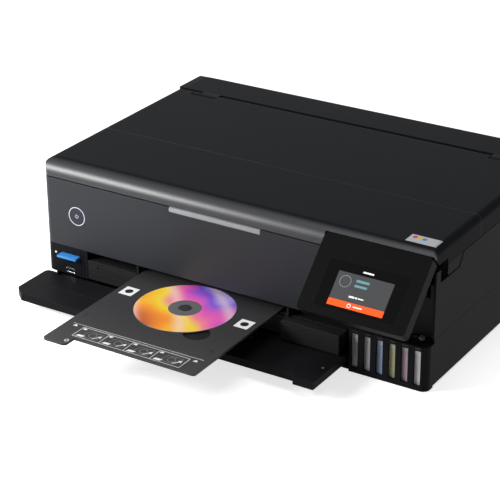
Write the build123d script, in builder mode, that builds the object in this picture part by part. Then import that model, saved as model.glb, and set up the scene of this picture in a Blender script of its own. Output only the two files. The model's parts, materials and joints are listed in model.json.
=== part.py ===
"""Disc label printer: a wide six-tank photo printer with its disc tray run out.

Frame: X to the right seen from the front, Y towards the back, Z up, in millimetres.
The origin is on the table under the middle of the box round the whole object, so the
body's front face lies at y = front and its back at y = rear.
"""

import os
from math import cos, radians, sin

from build123d import *

os.makedirs("parts", exist_ok=True)

# ------------------------------------------------------------------ overall sizes
body_width = 523.0
body_depth = 379.0
body_height = 169.0
tray_reach = 191.0  # how far the disc tray's tab stands out of the front face
corner_radius = 9.0  # upright corners of the casing, seen from above
wall = 2.5  # casing walls
seam = 0.4  # gap between neighbouring casing panels
running_gap = 0.3  # gap between faces that slide past each other

# ------------------------------------------------------------------ base and casing
foot_height = 3.0
foot_width = 16.0
floor_thickness = 3.0
low_seam = 60.0  # top of the base's side walls
high_seam = 141.5  # top of the side covers
fascia_bottom = 60.5
fascia_top = 147.5
fascia_right = 128.2
corner_wrap = 16.0  # how far front corner pieces reach round the side
notch_depth = 15.5  # finger notch of the scanner unit in the right side cover
notch_start = 25.0
notch_length = 47.0
notch_slope = 10.0

# ------------------------------------------------------------------ top of the machine
roll_radius = 19.5  # rounded front edge of the lid, and the tilt radius of the panel
lid_side_radius = 8.0
lid_depth = 295.0
hinge_radius = 8.0  # rolled rear edge of the lid and its hinge knuckles
hinge_pin_radius = 2.0
body_knuckle = (196.0, 222.0)  # distances from the middle, the same on both sides
scanner_knuckle = (222.6, 233.0)
lid_front_seam = 149.0
lid_skirt_bottom = 142.5
scanner_floor = 122.0
scanner_side_gap = 1.5
scanner_depth = 290.0
glass_width = 306.0
glass_depth = 222.0
glass_thickness = 3.0
pad_thickness = 2.4

# ------------------------------------------------------------------ control panel
panel_tilt = 45.0  # degrees from closed, as it stands at rest
panel_length = 93.0
panel_thickness = 14.5
screen_width = 98.0
screen_height = 54.5
screen_top = 28.0  # below the panel's upper edge
panel_pin_radius = 2.5
ear_half = 3.4  # half the height of the ears that hold the panel's pins
stay_radius = 40.0
stay_width = 6.0
stay_thickness = 3.0

# ------------------------------------------------------------------ paper bay and trays
bay_left = -200.0
bay_right = 157.0
bay_wall = 2.4
bay_depth = 336.0
cassette_side_gap = 3.5
cassette_floor = 1.8
cassette_height = 9.8
lower_cassette_bottom = 24.4
lower_cassette_depth = 320.0
upper_cassette_depth = 190.0
output_tray_depth = 140.0
output_plate = 2.0
tray_lip_height = 4.0
face_thickness = 3.0
face_step = 12.0  # the right-hand end of the tray fronts stands this far forward

# ------------------------------------------------------------------ disc tray and disc
disc_radius = 60.0
disc_hole_radius = 7.5
disc_thickness = 1.2
disc_x = -24.6
disc_reach = 48.8  # disc centre in front of the front face
tray_width = 192.0
tray_thickness = 2.5
tray_front_reach = 174.0
tray_inside = 88.0
tray_tab_width = 32.0
guide_plate = 1.6
guide_height = 9.5
guide_gap_left = 4.2
guide_gap_right = 10.2
guide_wall = 2.4
guide_wall_depth = 110.0  # the walls end in front of the print carriage

# ------------------------------------------------------------------ front cover
cover_reach = 72.0
cover_top = 22.5
cover_height = 9.5
cover_skin = 2.2
cover_pin_radius = 2.0
cover_axis_z = 13.0
cover_axis_reach = 1.5

# ------------------------------------------------------------------ ink tanks
tank_count = 6
tank_pitch = 15.7
tank_gap = 0.8
tank_depth = 112.0
tank_top = 80.0
window_width = 8.6
window_bottom = 6.5
window_height = 43.5
bezel_left = 163.3
bezel_top = 55.6
bezel_thickness = 3.0
neck_radius = 4.5
neck_height = 3.0
cap_length = 15.0
cap_height = 5.0
tank_cover_top = 104.5

# ------------------------------------------------------------------ buttons, card, ports
button_radius = 12.2
button_gap = 0.35
button_x = -213.2
button_z = 104.0
card_width = 28.0
card_thickness = 2.6
card_length = 36.0
card_out = 9.0
card_x = -226.0
card_z = 48.6
port_x = -227.5
port_z = 28.5
port_width = 14.0
port_height = 6.6

# ------------------------------------------------------------------ print mechanism
platen_top = 48.4
roller_radius = 6.4
rail_depth_at = 176.0
carriage_width = 96.0
carriage_depth = 62.0

# ------------------------------------------------------------------ derived places
left = -body_width / 2
right = body_width / 2
front = (tray_reach - body_depth) / 2
rear = front + body_depth
mid_y = (front + rear) / 2
floor_top = foot_height + floor_thickness
axis_y = front + roll_radius
axis_z = body_height - roll_radius
lid_rear = front + lid_depth
hinge_y = lid_rear - hinge_radius
hinge_z = body_height - hinge_radius
backing_y = front + 26.0  # wall behind the control panel
upper_cassette_bottom = lower_cassette_bottom + cassette_height + 2 * running_gap
output_bottom = upper_cassette_bottom + cassette_height + running_gap
guide_bottom = output_bottom + output_plate + running_gap
guide_top = guide_bottom + guide_plate
tray_bottom = guide_top + running_gap
tray_top = tray_bottom + tray_thickness
disc_y = front - disc_reach
tray_left = disc_x - tray_width / 2
tray_right = disc_x + tray_width / 2
guide_left = tray_left - guide_gap_left
guide_right = tray_right + guide_gap_right


def span(x0, x1, y0, y1, radius=0.0, mode=Mode.ADD):
    """A rectangle given by its edges, in the sketch that is open."""
    with Locations(((x0 + x1) / 2, (y0 + y1) / 2)):
        if radius:
            RectangleRounded(x1 - x0, y1 - y0, radius, mode=mode)
        else:
            Rectangle(x1 - x0, y1 - y0, mode=mode)


def block(x0, x1, y0, y1, z0, z1, radius=0.0, mode=Mode.ADD):
    """An upright slab given by its faces, in the part that is open."""
    with BuildSketch(Plane.XY.offset(z0)) as outline:
        span(x0, x1, y0, y1, radius)
    extrude(outline.sketch, amount=z1 - z0, mode=mode)


def rod(x0, x1, y, z, radius, mode=Mode.ADD):
    """A round bar along X, in the part that is open."""
    with BuildSketch(Plane.YZ.offset(x0)) as section:
        with Locations((y, z)):
            Circle(radius)
    extrude(section.sketch, amount=x1 - x0, mode=mode)


def ring_wall(z0, z1):
    """The casing's upright wall, seen from above a rounded ring, between two heights."""
    with BuildSketch(Plane.XY.offset(z0)) as outline:
        with Locations((0, mid_y)):
            RectangleRounded(body_width, body_depth, corner_radius)
            RectangleRounded(
                body_width - 2 * wall, body_depth - 2 * wall, corner_radius - wall, mode=Mode.SUBTRACT
            )
    extrude(outline.sketch, amount=z1 - z0)


def save(builder, label):
    """Name a finished piece and write it to its own file."""
    builder.part.label = label
    export_step(builder.part, f"parts/{label}.step")


# ================================================================== base and casing
hinge_lugs = ((left + 24.0, 1), (bay_right - 24.0, -1))  # front cover hinges: place, side
lug_width = 4.0
lug_reach = 9.0
axis_cover_y = front - cover_axis_reach

with BuildPart() as base_case:
    ring_wall(foot_height, low_seam - seam)
    block(left + wall, right - wall, front + wall, rear - wall, foot_height, floor_top)
    block(left - 1, right + 1, front - 1, front + corner_wrap, floor_top, low_seam, mode=Mode.SUBTRACT)
    block(bezel_left - seam, right + 1, front - 1, front + corner_wrap, 0, low_seam, mode=Mode.SUBTRACT)
    for side, edge in ((-1, bay_left), (1, bay_right)):
        outer = edge + side * bay_wall
        block(min(edge, outer), max(edge, outer), front + corner_wrap, front + bay_depth, floor_top, low_seam - seam)
        # ledges that the flanges of the two cassettes and the output tray run on
        for ledge_top in (
            lower_cassette_bottom + 5.3,
            upper_cassette_bottom + 5.3,
            output_bottom - running_gap,
        ):
            inner = edge - side * 3.0
            block(
                min(edge, inner), max(edge, inner),
                front + corner_wrap, front + output_tray_depth,
                ledge_top - 1.6, ledge_top,
            )
    for x, side in hinge_lugs:
        x1 = x - side * lug_width
        block(min(x, x1), max(x, x1), axis_cover_y - 5, front + lug_reach, foot_height, cover_axis_z + 4.5)
        rod(min(x, x1), max(x, x1), axis_cover_y, cover_axis_z, cover_pin_radius, mode=Mode.SUBTRACT)
save(base_case, "base_case")

with BuildPart() as rubber_feet:
    with BuildSketch():
        with Locations((0, mid_y)), GridLocations(body_width - 60, body_depth - 60, 2, 2):
            Rectangle(foot_width, foot_width)
    extrude(amount=foot_height)
save(rubber_feet, "rubber_feet")

with BuildPart() as left_side_cover:
    ring_wall(low_seam, high_seam)
    block(left + corner_radius, right + 1, front - 1, rear + 1, low_seam, high_seam, mode=Mode.SUBTRACT)
    block(left - 1, 0, front - 1, front + corner_radius + seam, low_seam, high_seam, mode=Mode.SUBTRACT)
save(left_side_cover, "left_side_cover")

with BuildPart() as right_side_cover:
    ring_wall(low_seam, high_seam)
    block(left - 1, right - corner_radius, front - 1, rear + 1, low_seam, high_seam, mode=Mode.SUBTRACT)
    block(0, right + 1, front - 1, front + corner_wrap - 1.5, low_seam, high_seam, mode=Mode.SUBTRACT)
    with BuildSketch(Plane.YZ.offset(right - wall - 1)):
        with BuildLine():
            Polyline(
                (front + notch_start, high_seam + 1),
                (front + notch_start, high_seam - notch_depth),
                (front + notch_start + notch_length, high_seam - notch_depth),
                (front + notch_start + notch_length + notch_slope, high_seam + 1),
                close=True,
            )
        make_face()
    extrude(amount=wall + 2, mode=Mode.SUBTRACT)
save(right_side_cover, "right_side_cover")

inlet_x, inlet_z = -190.0, 86.0
inlet_width, inlet_height = 24.0, 16.0
with BuildPart() as rear_cover:
    ring_wall(low_seam, high_seam)
    block(left - 1, right + 1, front - 1, rear - wall, low_seam, high_seam, mode=Mode.SUBTRACT)
    for side in (-1, 1):
        edge = side * (right - corner_radius - seam)
        block(min(edge, side * (right + 1)), max(edge, side * (right + 1)), front, rear + 1,
              low_seam, high_seam, mode=Mode.SUBTRACT)
    with BuildSketch(Plane.XZ.offset(-rear - 1)):
        with Locations((inlet_x, inlet_z)):
            Rectangle(inlet_width, inlet_height)
        with Locations((120.0, inlet_z)), GridLocations(9, 0, 10, 1):
            Rectangle(4, 34)
    extrude(amount=wall + 2, mode=Mode.SUBTRACT)
save(rear_cover, "rear_cover")

with BuildPart() as ac_inlet:
    with BuildSketch(Plane.XZ.offset(-rear + 0.5)):
        with Locations((inlet_x, inlet_z)):
            Rectangle(inlet_width - 0.1, inlet_height - 0.1)
    extrude(amount=24)
    with BuildSketch(Plane.XZ.offset(-rear + 0.5)):
        with Locations((inlet_x, inlet_z)):
            Rectangle(inlet_width - 5, inlet_height - 6)
    extrude(amount=14, mode=Mode.SUBTRACT)
    with BuildSketch(Plane.XZ.offset(-rear + 14.6)):
        with Locations((inlet_x, inlet_z)), GridLocations(8, 0, 2, 1):
            Rectangle(1.6, 4)
    extrude(amount=-10)
save(ac_inlet, "ac_inlet")

# ------------------------------------------------------------------ front fascia
grip_left, grip_right, grip_height = -78.0, 46.0, 4.2
with BuildPart() as front_fascia:
    ring_wall(fascia_bottom, fascia_top)
    block(left - 1, right + 1, front + corner_radius, rear + 1, fascia_bottom, fascia_top, mode=Mode.SUBTRACT)
    block(fascia_right, right + 1, front - 1, rear, fascia_bottom, fascia_top, mode=Mode.SUBTRACT)
    block(
        grip_left - seam, grip_right + seam, front - 1, front + wall + 1,
        fascia_top - grip_height - 2, fascia_top + 1, mode=Mode.SUBTRACT,
    )
    with BuildSketch(Plane.XZ.offset(-front + 1)):
        with Locations((button_x, button_z)):
            Circle(button_radius + button_gap)
    extrude(amount=-(wall + 2), mode=Mode.SUBTRACT)
    # screw posts and a stiffening rib behind the panel
    block(left + wall + 2, fascia_right - 4, front + wall, front + wall + 6, fascia_bottom, fascia_bottom + 1.6)
save(front_fascia, "front_fascia")

with BuildPart() as lid_grip:
    with BuildSketch(Plane.YZ.offset(grip_left)):
        with BuildLine():
            Polyline(
                (front + 0.4, fascia_top - grip_height - 1.8),
                (front + 3.2, fascia_top - grip_height - 1.8),
                (front + 3.2, fascia_top),
                (front + 2.0, fascia_top),
                (front + 0.4, fascia_top - 1.2),
                close=True,
            )
        make_face()
    extrude(amount=grip_right - grip_left)
save(lid_grip, "lid_grip")

with BuildPart() as power_button:
    with BuildSketch(Plane.XZ.offset(-front)):
        with Locations((button_x, button_z)):
            Circle(button_radius)
    extrude(amount=-6)
save(power_button, "power_button")

# switch block behind the button: carries it and closes the circuit
with BuildPart() as button_switch:
    block(button_x - 9, button_x + 9, front + 7.3, front + 12, button_z - 9, button_z + 9)
    block(left + wall, button_x + 9, front + 12, front + 14, button_z - 9, button_z + 9)
save(button_switch, "button_switch")

# ------------------------------------------------------------------ card reader column
column_bottom = 23.2
with BuildPart() as card_panel:
    ring_wall(column_bottom, low_seam - seam)
    block(left - 1, right + 1, front + corner_wrap - seam, rear + 1, 0, low_seam + 1, mode=Mode.SUBTRACT)
    block(bay_left, right + 1, front - 1, rear, 0, low_seam + 1, mode=Mode.SUBTRACT)
    block(bay_left - wall, bay_left, front, front + corner_wrap - seam, column_bottom, low_seam - seam)
    # ledge below the card slot and two upright grooves
    with BuildSketch(Plane.XZ.offset(-front + 1)):
        with Locations((card_x, card_z)):
            Rectangle(card_width + 3, card_thickness + 2.6)
        with Locations((port_x, port_z)):
            Rectangle(port_width, port_height)
    extrude(amount=-(wall + 2), mode=Mode.SUBTRACT)
    with BuildSketch(Plane.XY.offset(column_bottom - 1)):
        for x in (-210.0, -205.6):
            with Locations((x, front)):
                Rectangle(0.8, 1.0)
    extrude(amount=low_seam, mode=Mode.SUBTRACT)
save(card_panel, "card_panel")

with BuildPart() as card_reader:
    block(card_x - card_width / 2 - 3, card_x + card_width / 2 + 3, front + wall + seam, front + 40,
          card_z - 4, card_z + 4)
    block(
        card_x - card_width / 2 - running_gap, card_x + card_width / 2 + running_gap,
        front + wall, front + card_length - card_out + 4,
        card_z - card_thickness / 2 - running_gap, card_z + card_thickness / 2 + running_gap,
        mode=Mode.SUBTRACT,
    )
    block(left + wall, card_x, front + 32, front + 40, card_z - 4, card_z + 4)
save(card_reader, "card_reader")

with BuildPart() as memory_card:
    block(
        card_x - card_width / 2, card_x + card_width / 2, front - card_out, front - card_out + card_length,
        card_z - card_thickness / 2, card_z + card_thickness / 2,
    )
save(memory_card, "memory_card")

with BuildPart() as usb_port:
    with BuildSketch(Plane.XZ.offset(-front - 0.6)):
        with Locations((port_x, port_z)):
            Rectangle(port_width - 0.4, port_height - 0.4)
            Rectangle(port_width - 1.6, port_height - 1.6, mode=Mode.SUBTRACT)
    extrude(amount=-14)
    with BuildSketch(Plane.XZ.offset(-front - 3)):
        with Locations((port_x, port_z + 0.9)):
            Rectangle(port_width - 3, 1.8)
        with Locations((port_x, port_z + 2)):
            Rectangle(2, 1.6)
    extrude(amount=-11)
save(usb_port, "usb_port")

# ================================================================== paper bay
face_split = guide_right + guide_wall


def tray_front(z0, z1, z1_middle):
    """The stepped front of a tray or cassette, whose right-hand end stands forward."""
    block(bay_left + 0.5, guide_left - guide_wall, front, front + face_thickness, z0, z1)
    block(guide_left - guide_wall, face_split, front, front + face_thickness, z0, z1_middle)
    block(face_split - face_thickness, face_split, front - face_step, front + face_thickness, z0, z1_middle)
    block(face_split, bay_right - 0.5, front - face_step, front - face_step + face_thickness, z0, z1)


def cassette(bottom, depth):
    """An open paper tray with a stepped front, side flanges and a rear wall."""
    x0 = bay_left + cassette_side_gap
    x1 = bay_right - cassette_side_gap
    back = front + depth
    rim = bottom + cassette_height
    block(x0, x1, front + face_thickness, back, bottom, bottom + cassette_floor)
    block(face_split, x1, front - face_step + face_thickness, front + face_thickness, bottom, bottom + cassette_floor)
    for a, b in ((x0, x0 + 1.8), (x1 - 1.8, x1)):
        block(a, b, front + face_thickness, back, bottom, rim)
    block(x0, x1, back - 1.8, back, bottom, rim)
    for a, b in ((x0 - cassette_side_gap + 0.4, x0), (x1, x1 + cassette_side_gap - 0.4)):
        block(a, b, front + corner_wrap + 1, front + output_tray_depth, bottom + 5.6, bottom + 7.6)
    tray_front(bottom, rim, rim)


with BuildPart() as lower_cassette:
    cassette(lower_cassette_bottom, lower_cassette_depth)
    # finger pull in the middle of the front
    block(-45, 5, front - 1, front + face_thickness + 1, lower_cassette_bottom + 5,
          lower_cassette_bottom + cassette_height + 1, mode=Mode.SUBTRACT)
save(lower_cassette, "lower_cassette")

with BuildPart() as upper_cassette:
    cassette(upper_cassette_bottom, upper_cassette_depth)
    # latch tab outlined at the left end of the front
    block(bay_left + 1.2, bay_left + 16, front - 1, front + 0.6, upper_cassette_bottom + 4.4,
          upper_cassette_bottom + cassette_height + 1, mode=Mode.SUBTRACT)
    block(bay_left + 2, bay_left + 15.2, front - 0.6, front + 1, upper_cassette_bottom + 5.2,
          upper_cassette_bottom + cassette_height)
save(upper_cassette, "upper_cassette")

with BuildPart() as output_tray:
    block(bay_left + 0.5, bay_right - 0.5, front + face_thickness, front + output_tray_depth,
          output_bottom, output_bottom + output_plate)
    block(face_split, bay_right - 0.5, front - face_step + face_thickness, front + face_thickness,
          output_bottom, output_bottom + output_plate)
    tray_front(output_bottom, output_bottom + tray_lip_height, output_bottom + output_plate)
save(output_tray, "output_tray")

with BuildPart() as disc_guide:
    block(bay_left, bay_right, front + face_thickness + 1, front + output_tray_depth, guide_bottom, guide_top)
    for x0, x1 in ((guide_left - guide_wall, guide_left), (guide_right, guide_right + guide_wall)):
        block(x0, x1, front + 0.8, front + guide_wall_depth, guide_bottom, guide_top + guide_height)
save(disc_guide, "disc_guide")

# ------------------------------------------------------------------ disc tray and disc
pocket_floor = tray_top - disc_thickness
with BuildPart() as disc_tray:
    block(tray_left, tray_right, front - tray_front_reach, front + tray_inside, tray_bottom, tray_top, radius=4)
    block(tray_left, tray_left + tray_tab_width, front - tray_reach, front - tray_front_reach + 12,
          tray_bottom, tray_top, radius=5)
    with BuildSketch(Plane.XY.offset(pocket_floor)):
        with Locations((disc_x, disc_y)):
            Circle(disc_radius + 0.6)
            Circle(disc_hole_radius - 0.25, mode=Mode.SUBTRACT)
    extrude(amount=disc_thickness + 1, mode=Mode.SUBTRACT)
    # thumb recess at the edge of the pocket
    with BuildSketch(Plane.XY.offset(pocket_floor - 0.6)):
        with Locations((disc_x + 46.0, disc_y - 45.0)):
            Circle(15.5)
            with Locations((-46.0, 45.0)):
                Circle(disc_radius - 2, mode=Mode.SUBTRACT)
    extrude(amount=disc_thickness + 2, mode=Mode.SUBTRACT)
    # hub with three spring fingers
    with BuildSketch(Plane.XY.offset(pocket_floor)):
        with Locations((disc_x, disc_y)):
            Circle(disc_hole_radius - 0.25)
            for angle in (90, 210, 330):
                with Locations(Rot(0, 0, angle) * Pos(5.4, 0)):
                    Rectangle(3.0, 0.7, mode=Mode.SUBTRACT)
    extrude(amount=disc_thickness + 0.7)
save(disc_tray, "disc_tray")

with BuildPart() as label_disc:
    with BuildSketch(Plane.XY.offset(tray_top - disc_thickness + 0.02)):
        with Locations((disc_x, disc_y)):
            Circle(disc_radius)
            Circle(disc_hole_radius, mode=Mode.SUBTRACT)
    extrude(amount=disc_thickness)
save(label_disc, "label_disc")

# ------------------------------------------------------------------ front cover
with BuildPart() as front_cover:
    with BuildSketch(Plane.XY.offset(cover_top - cover_height)):
        with BuildLine():
            Polyline(
                (left, front - 3), (left, front - cover_reach + 12), (left + 14, front - cover_reach),
                (bezel_left - 28, front - cover_reach), (bezel_left - 27, front - cover_reach - 6),
                (bezel_left - 0.8, front - cover_reach - 6), (bezel_left - 0.8, front - 3), close=True,
            )
        make_face()
    extrude(amount=cover_height)
    fillet(front_cover.edges().filter_by(Axis.Z).group_by(Axis.X)[:2][0], 6)
    with BuildSketch(Plane.XY.offset(cover_top - cover_height)):
        span(left + cover_skin + 10, bezel_left - 4, front - cover_reach + cover_skin + 3, front - 5)
    extrude(amount=cover_height - cover_skin, mode=Mode.SUBTRACT)
    # long rib pressed into the upper face
    block(left + 24, bezel_left - 30, front - 39.2, front - 38, cover_top - 0.7, cover_top + 1, mode=Mode.SUBTRACT)
    for x, side in hinge_lugs:
        a, b = x - side * (lug_width + 1), x + side * seam
        block(min(a, b), max(a, b), front - 8, front - 2, cover_top - cover_height - 1, cover_top + 1,
              mode=Mode.SUBTRACT)
        a, b = x + side * seam, x + side * (seam + 8)
        block(min(a, b), max(a, b), front - 8, front - 3, cover_top - cover_height, cover_top - 1)
        rod(min(a, b), max(a, b), axis_cover_y, cover_axis_z, cover_pin_radius + 2.2)
        rod(min(a, b) - 1, max(a, b) + 1, axis_cover_y, cover_axis_z, cover_pin_radius + 0.1, mode=Mode.SUBTRACT)
save(front_cover, "front_cover")

# ================================================================== ink tanks
tank_width = tank_pitch - tank_gap
first_window = right - 12.7 - (tank_count - 1) * tank_pitch  # centre of the leftmost window
tank_front = front + bezel_thickness + running_gap
stop_x, stop_y = 244.9, front + 18.3  # round stop that stands behind the shut panel
catch_x = 234.1

with BuildPart() as tank_bezel:
    with BuildSketch(Plane.XY.offset(0.6)):
        with Locations((0, mid_y)):
            RectangleRounded(body_width, body_depth, corner_radius)
            RectangleRounded(
                body_width - 2 * bezel_thickness, body_depth - 2 * bezel_thickness,
                corner_radius - bezel_thickness, mode=Mode.SUBTRACT,
            )
    extrude(amount=bezel_top - 0.6)
    block(left - 1, bezel_left, front - 1, rear + 1, 0, bezel_top + 1, mode=Mode.SUBTRACT)
    block(left - 1, right + 1, front + corner_wrap - seam, rear + 1, 0, bezel_top + 1, mode=Mode.SUBTRACT)
    # shelf that the control panel closes onto, and the left-hand return wall
    block(bezel_left, right - bezel_thickness, front + bezel_thickness, backing_y - seam, bezel_top - 2, bezel_top)
    block(bezel_left, bezel_left + 1.2, front + bezel_thickness, front + corner_wrap - seam, 6, bezel_top)
    with BuildSketch(Plane.XZ.offset(-front + 1)):
        for n in range(tank_count):
            with Locations((first_window + n * tank_pitch, window_bottom + window_height / 2)):
                Rectangle(window_width, window_height)
    extrude(amount=-(bezel_thickness + 2), mode=Mode.SUBTRACT)
    # square pocket for the panel's catch
    block(catch_x - 4, catch_x + 4, stop_y - 0.5, stop_y + 6.5, bezel_top - 3, bezel_top + 1, mode=Mode.SUBTRACT)
save(tank_bezel, "tank_bezel")

with BuildPart() as panel_stop:
    with BuildSketch(Plane.XY.offset(bezel_top)):
        with Locations((stop_x, stop_y)):
            Circle(3.4)
    extrude(amount=2.6)
save(panel_stop, "panel_stop")

tank_back_start = backing_y + wall + 2.5
neck_y = tank_front + 60.0
cap_axis_y = neck_y + cap_length / 2
cap_bottom = tank_top + neck_height + 0.1
for n in range(tank_count):
    centre = first_window + n * tank_pitch
    with BuildPart() as ink_tank:
        with BuildSketch(Plane.XY.offset(floor_top)):
            span(centre - tank_width / 2, centre + tank_width / 2, tank_back_start, tank_front + tank_depth)
        extrude(amount=tank_top - floor_top)
        # the slim front that the window shows
        block(centre - window_width / 2 - 1.2, centre + window_width / 2 + 1.2, tank_front, tank_back_start + 2,
              floor_top, bezel_top - 2.4)
        with BuildSketch(Plane.XY.offset(tank_top)):
            with Locations((centre, neck_y)):
                RegularPolygon(neck_radius, 12)
        extrude(amount=neck_height)
        # hinge lug with a square eye for the cap's pin
        block(centre - 1.6, centre + 1.6, cap_axis_y - 1.5, cap_axis_y + 4, tank_top, cap_bottom + 4.2)
        block(centre - 2, centre + 2, cap_axis_y - 1.05, cap_axis_y + 1.05, cap_bottom + 1.35, cap_bottom + 3.45,
              mode=Mode.SUBTRACT)
    save(ink_tank, f"ink_tank_{n + 1}")

    with BuildPart() as tank_cap:
        block(centre - 5.4, centre + 5.4, neck_y - cap_length / 2, cap_axis_y - 2.6, cap_bottom, cap_bottom + cap_height)
        for a, b in ((centre - 5.4, centre - 2.0), (centre + 2.0, centre + 5.4)):
            block(a, b, cap_axis_y - 3, cap_axis_y + 2, cap_bottom + 0.4, cap_bottom + 4.4)
        rod(centre - 3, centre + 3, cap_axis_y, cap_bottom + 2.4, 1.0)
        chamfer(tank_cap.faces().sort_by(Axis.Y)[0].edges().filter_by(Axis.Z), length=2)
    save(tank_cap, f"tank_cap_{n + 1}")

tank_left = first_window - tank_pitch / 2 - 1.5
tank_cover_front = backing_y + wall + 0.8
tank_cover_rear = tank_front + tank_depth + 8
stay_x = right - 16.0
with BuildPart() as tank_cover:
    block(tank_left, right - wall - 2, tank_cover_front, tank_cover_rear, tank_cover_top - 16, tank_cover_top)
    block(tank_left + 1.8, right - wall - 3.8, tank_cover_front + 1.8, tank_cover_rear - 1.8, tank_cover_top - 17,
          tank_cover_top - 1.8, mode=Mode.SUBTRACT)
    rod(tank_left + 8, right - wall - 10, tank_cover_rear + 2.4, tank_cover_top - 13, 2.6)
    rod(tank_left + 7, right - wall - 9, tank_cover_rear + 2.4, tank_cover_top - 13, 1.6, mode=Mode.SUBTRACT)
    block(tank_left + 8, right - wall - 10, tank_cover_rear - 1.8, tank_cover_rear + 0.5, tank_cover_top - 15,
          tank_cover_top - 11)
    # slot that lets the panel's stay pass when both stand open
    block(stay_x - 1.5, stay_x + stay_thickness + 1.5, tank_cover_front - 1, tank_cover_front + 14,
          tank_cover_top - 18, tank_cover_top + 1, mode=Mode.SUBTRACT)
save(tank_cover, "tank_cover")

# rack behind the tanks: stands on the floor and holds the cover's hinge rod
rack_y = tank_cover_rear + 6
with BuildPart() as tank_rack:
    block(tank_left, right - wall - 2, rack_y, rack_y + 2.5, floor_top, tank_cover_top - 18)
    for x in (tank_left + 4, right - wall - 9):
        block(x, x + 3, tank_cover_rear + 0.9, rack_y + 2.5, tank_cover_top - 19, tank_cover_top - 10)
    rod(tank_left + 4, right - wall - 6, tank_cover_rear + 2.4, tank_cover_top - 13, 1.5)
save(tank_rack, "tank_rack")

# ================================================================== control panel
panel_left = fascia_right + 0.3
panel_normal = Vector(0, -cos(radians(panel_tilt)), sin(radians(panel_tilt)))


def panel_plane(depth):
    """A plane across the panel: X to the right, Y up its face, at a depth from the hinge axis."""
    return Plane(
        origin=Vector(0, axis_y, axis_z) + panel_normal * depth, x_dir=(1, 0, 0), z_dir=panel_normal
    )


barrel_radius = 5.0
barrel_length = 10.0
panel_axis_rear = roll_radius - panel_thickness


def swung(radius, angle):
    """Y and Z of a point round the hinge axis; 0 degrees is straight out of the panel's face."""
    turn = radians(180 - panel_tilt - angle)
    return (axis_y + radius * cos(turn), axis_z + radius * sin(turn))


with BuildPart() as panel_housing:
    with BuildSketch(panel_plane(panel_axis_rear)):
        span(panel_left, right, -panel_length, 0)
    extrude(amount=panel_thickness)
    fillet(
        panel_housing.edges().filter_by(lambda e: abs(e.tangent_at(0).dot(panel_normal)) > 0.99),
        5,
    )
    with BuildSketch(panel_plane(roll_radius)):
        span(panel_left + 19, panel_left + 19 + screen_width + 0.4, -screen_top - screen_height - 0.4, -screen_top)
    extrude(amount=-1.6, mode=Mode.SUBTRACT)
    # hollow back
    with BuildSketch(panel_plane(panel_axis_rear)):
        span(panel_left + wall, right - wall, -panel_length + wall, -16)
    extrude(amount=panel_thickness - 5, mode=Mode.SUBTRACT)
    # shallow step across the upper part of the face
    with BuildSketch(panel_plane(roll_radius)):
        span(panel_left - 1, right + 1, -17.4, -16.8)
    extrude(amount=-0.4, mode=Mode.SUBTRACT)
    # round hinge ends with their pin holes
    for x in (panel_left + 6, right - 6 - barrel_length):
        rod(x, x + barrel_length, axis_y, axis_z, barrel_radius)
        with BuildSketch(panel_plane(0)):
            span(x, x + barrel_length, -barrel_radius, 0)
        extrude(amount=panel_axis_rear + 2)
        rod(x - 1, x + barrel_length + 1, axis_y, axis_z, panel_pin_radius + 0.08, mode=Mode.SUBTRACT)
save(panel_housing, "panel_housing")

with BuildPart() as touch_glass:
    with BuildSketch(panel_plane(roll_radius - 1.5)):
        span(panel_left + 19.2, panel_left + 19.2 + screen_width, -screen_top - screen_height - 0.2,
             -screen_top - 0.2)
    extrude(amount=1.4)
save(touch_glass, "touch_glass")

# curved stay at the right-hand end, centred on the hinge axis
stay_start, stay_end = -70.6, -124.0  # degrees round the hinge axis from the panel's face
with BuildPart() as panel_stay:
    with BuildSketch(Plane.YZ.offset(stay_x)):
        with BuildLine():
            outer_arc = ThreePointArc(
                swung(stay_radius + stay_width / 2, stay_start),
                swung(stay_radius + stay_width / 2, (stay_start + stay_end) / 2),
                swung(stay_radius + stay_width / 2, stay_end),
            )
            inner_arc = ThreePointArc(
                swung(stay_radius - stay_width / 2, stay_end),
                swung(stay_radius - stay_width / 2, (stay_start + stay_end) / 2),
                swung(stay_radius - stay_width / 2, stay_start),
            )
            Line(outer_arc @ 1, inner_arc @ 0)
            Line(inner_arc @ 1, outer_arc @ 0)
        make_face()
    extrude(amount=stay_thickness)
save(panel_stay, "panel_stay")

with BuildPart() as panel_backing:
    block(fascia_right - 2, right - wall, backing_y, backing_y + wall, low_seam + seam, scanner_floor - 1.5)
    block(bay_right + bay_wall + 1, right - wall - 1, backing_y, backing_y + wall, bezel_top + seam, low_seam + 1)
    block(fascia_right - 2, fascia_right, front + wall, backing_y + wall, low_seam + seam, scanner_floor - 1.5)
    # slot for the stay
    block(stay_x - 1, stay_x + stay_thickness + 1, backing_y - 1, backing_y + wall + 1,
          axis_z - stay_radius - stay_width, scanner_floor, mode=Mode.SUBTRACT)
    # ears for the panel's hinge pins
    for x in (panel_left + 6 + barrel_length + 0.4, right - 6 - barrel_length - 4.4):
        block(x, x + 4, axis_y, axis_y + 12, scanner_floor - 4.5, axis_z)
        block(x, x + 4, backing_y, axis_y + 12, scanner_floor - 4.5, scanner_floor)
        block(x, x + 4, axis_y - ear_half, axis_y + 4, axis_z - ear_half, axis_z + ear_half)
        rod(x, x + 4, axis_y, axis_z, panel_pin_radius, mode=Mode.SUBTRACT)
save(panel_backing, "panel_backing")

with BuildPart() as hinge_pins:
    for x in (panel_left + 8, right - 8 - barrel_length - 2.4):
        rod(x, x + barrel_length + 2.4, axis_y, axis_z, panel_pin_radius)
    for x, side in hinge_lugs:
        a, b = x - side * lug_width, x + side * (seam + 7)
        rod(min(a, b), max(a, b), axis_cover_y, cover_axis_z, cover_pin_radius)
    rod(-scanner_knuckle[1] - 7, scanner_knuckle[1] + 7, hinge_y, hinge_z, hinge_pin_radius)
save(hinge_pins, "hinge_pins")

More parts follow.
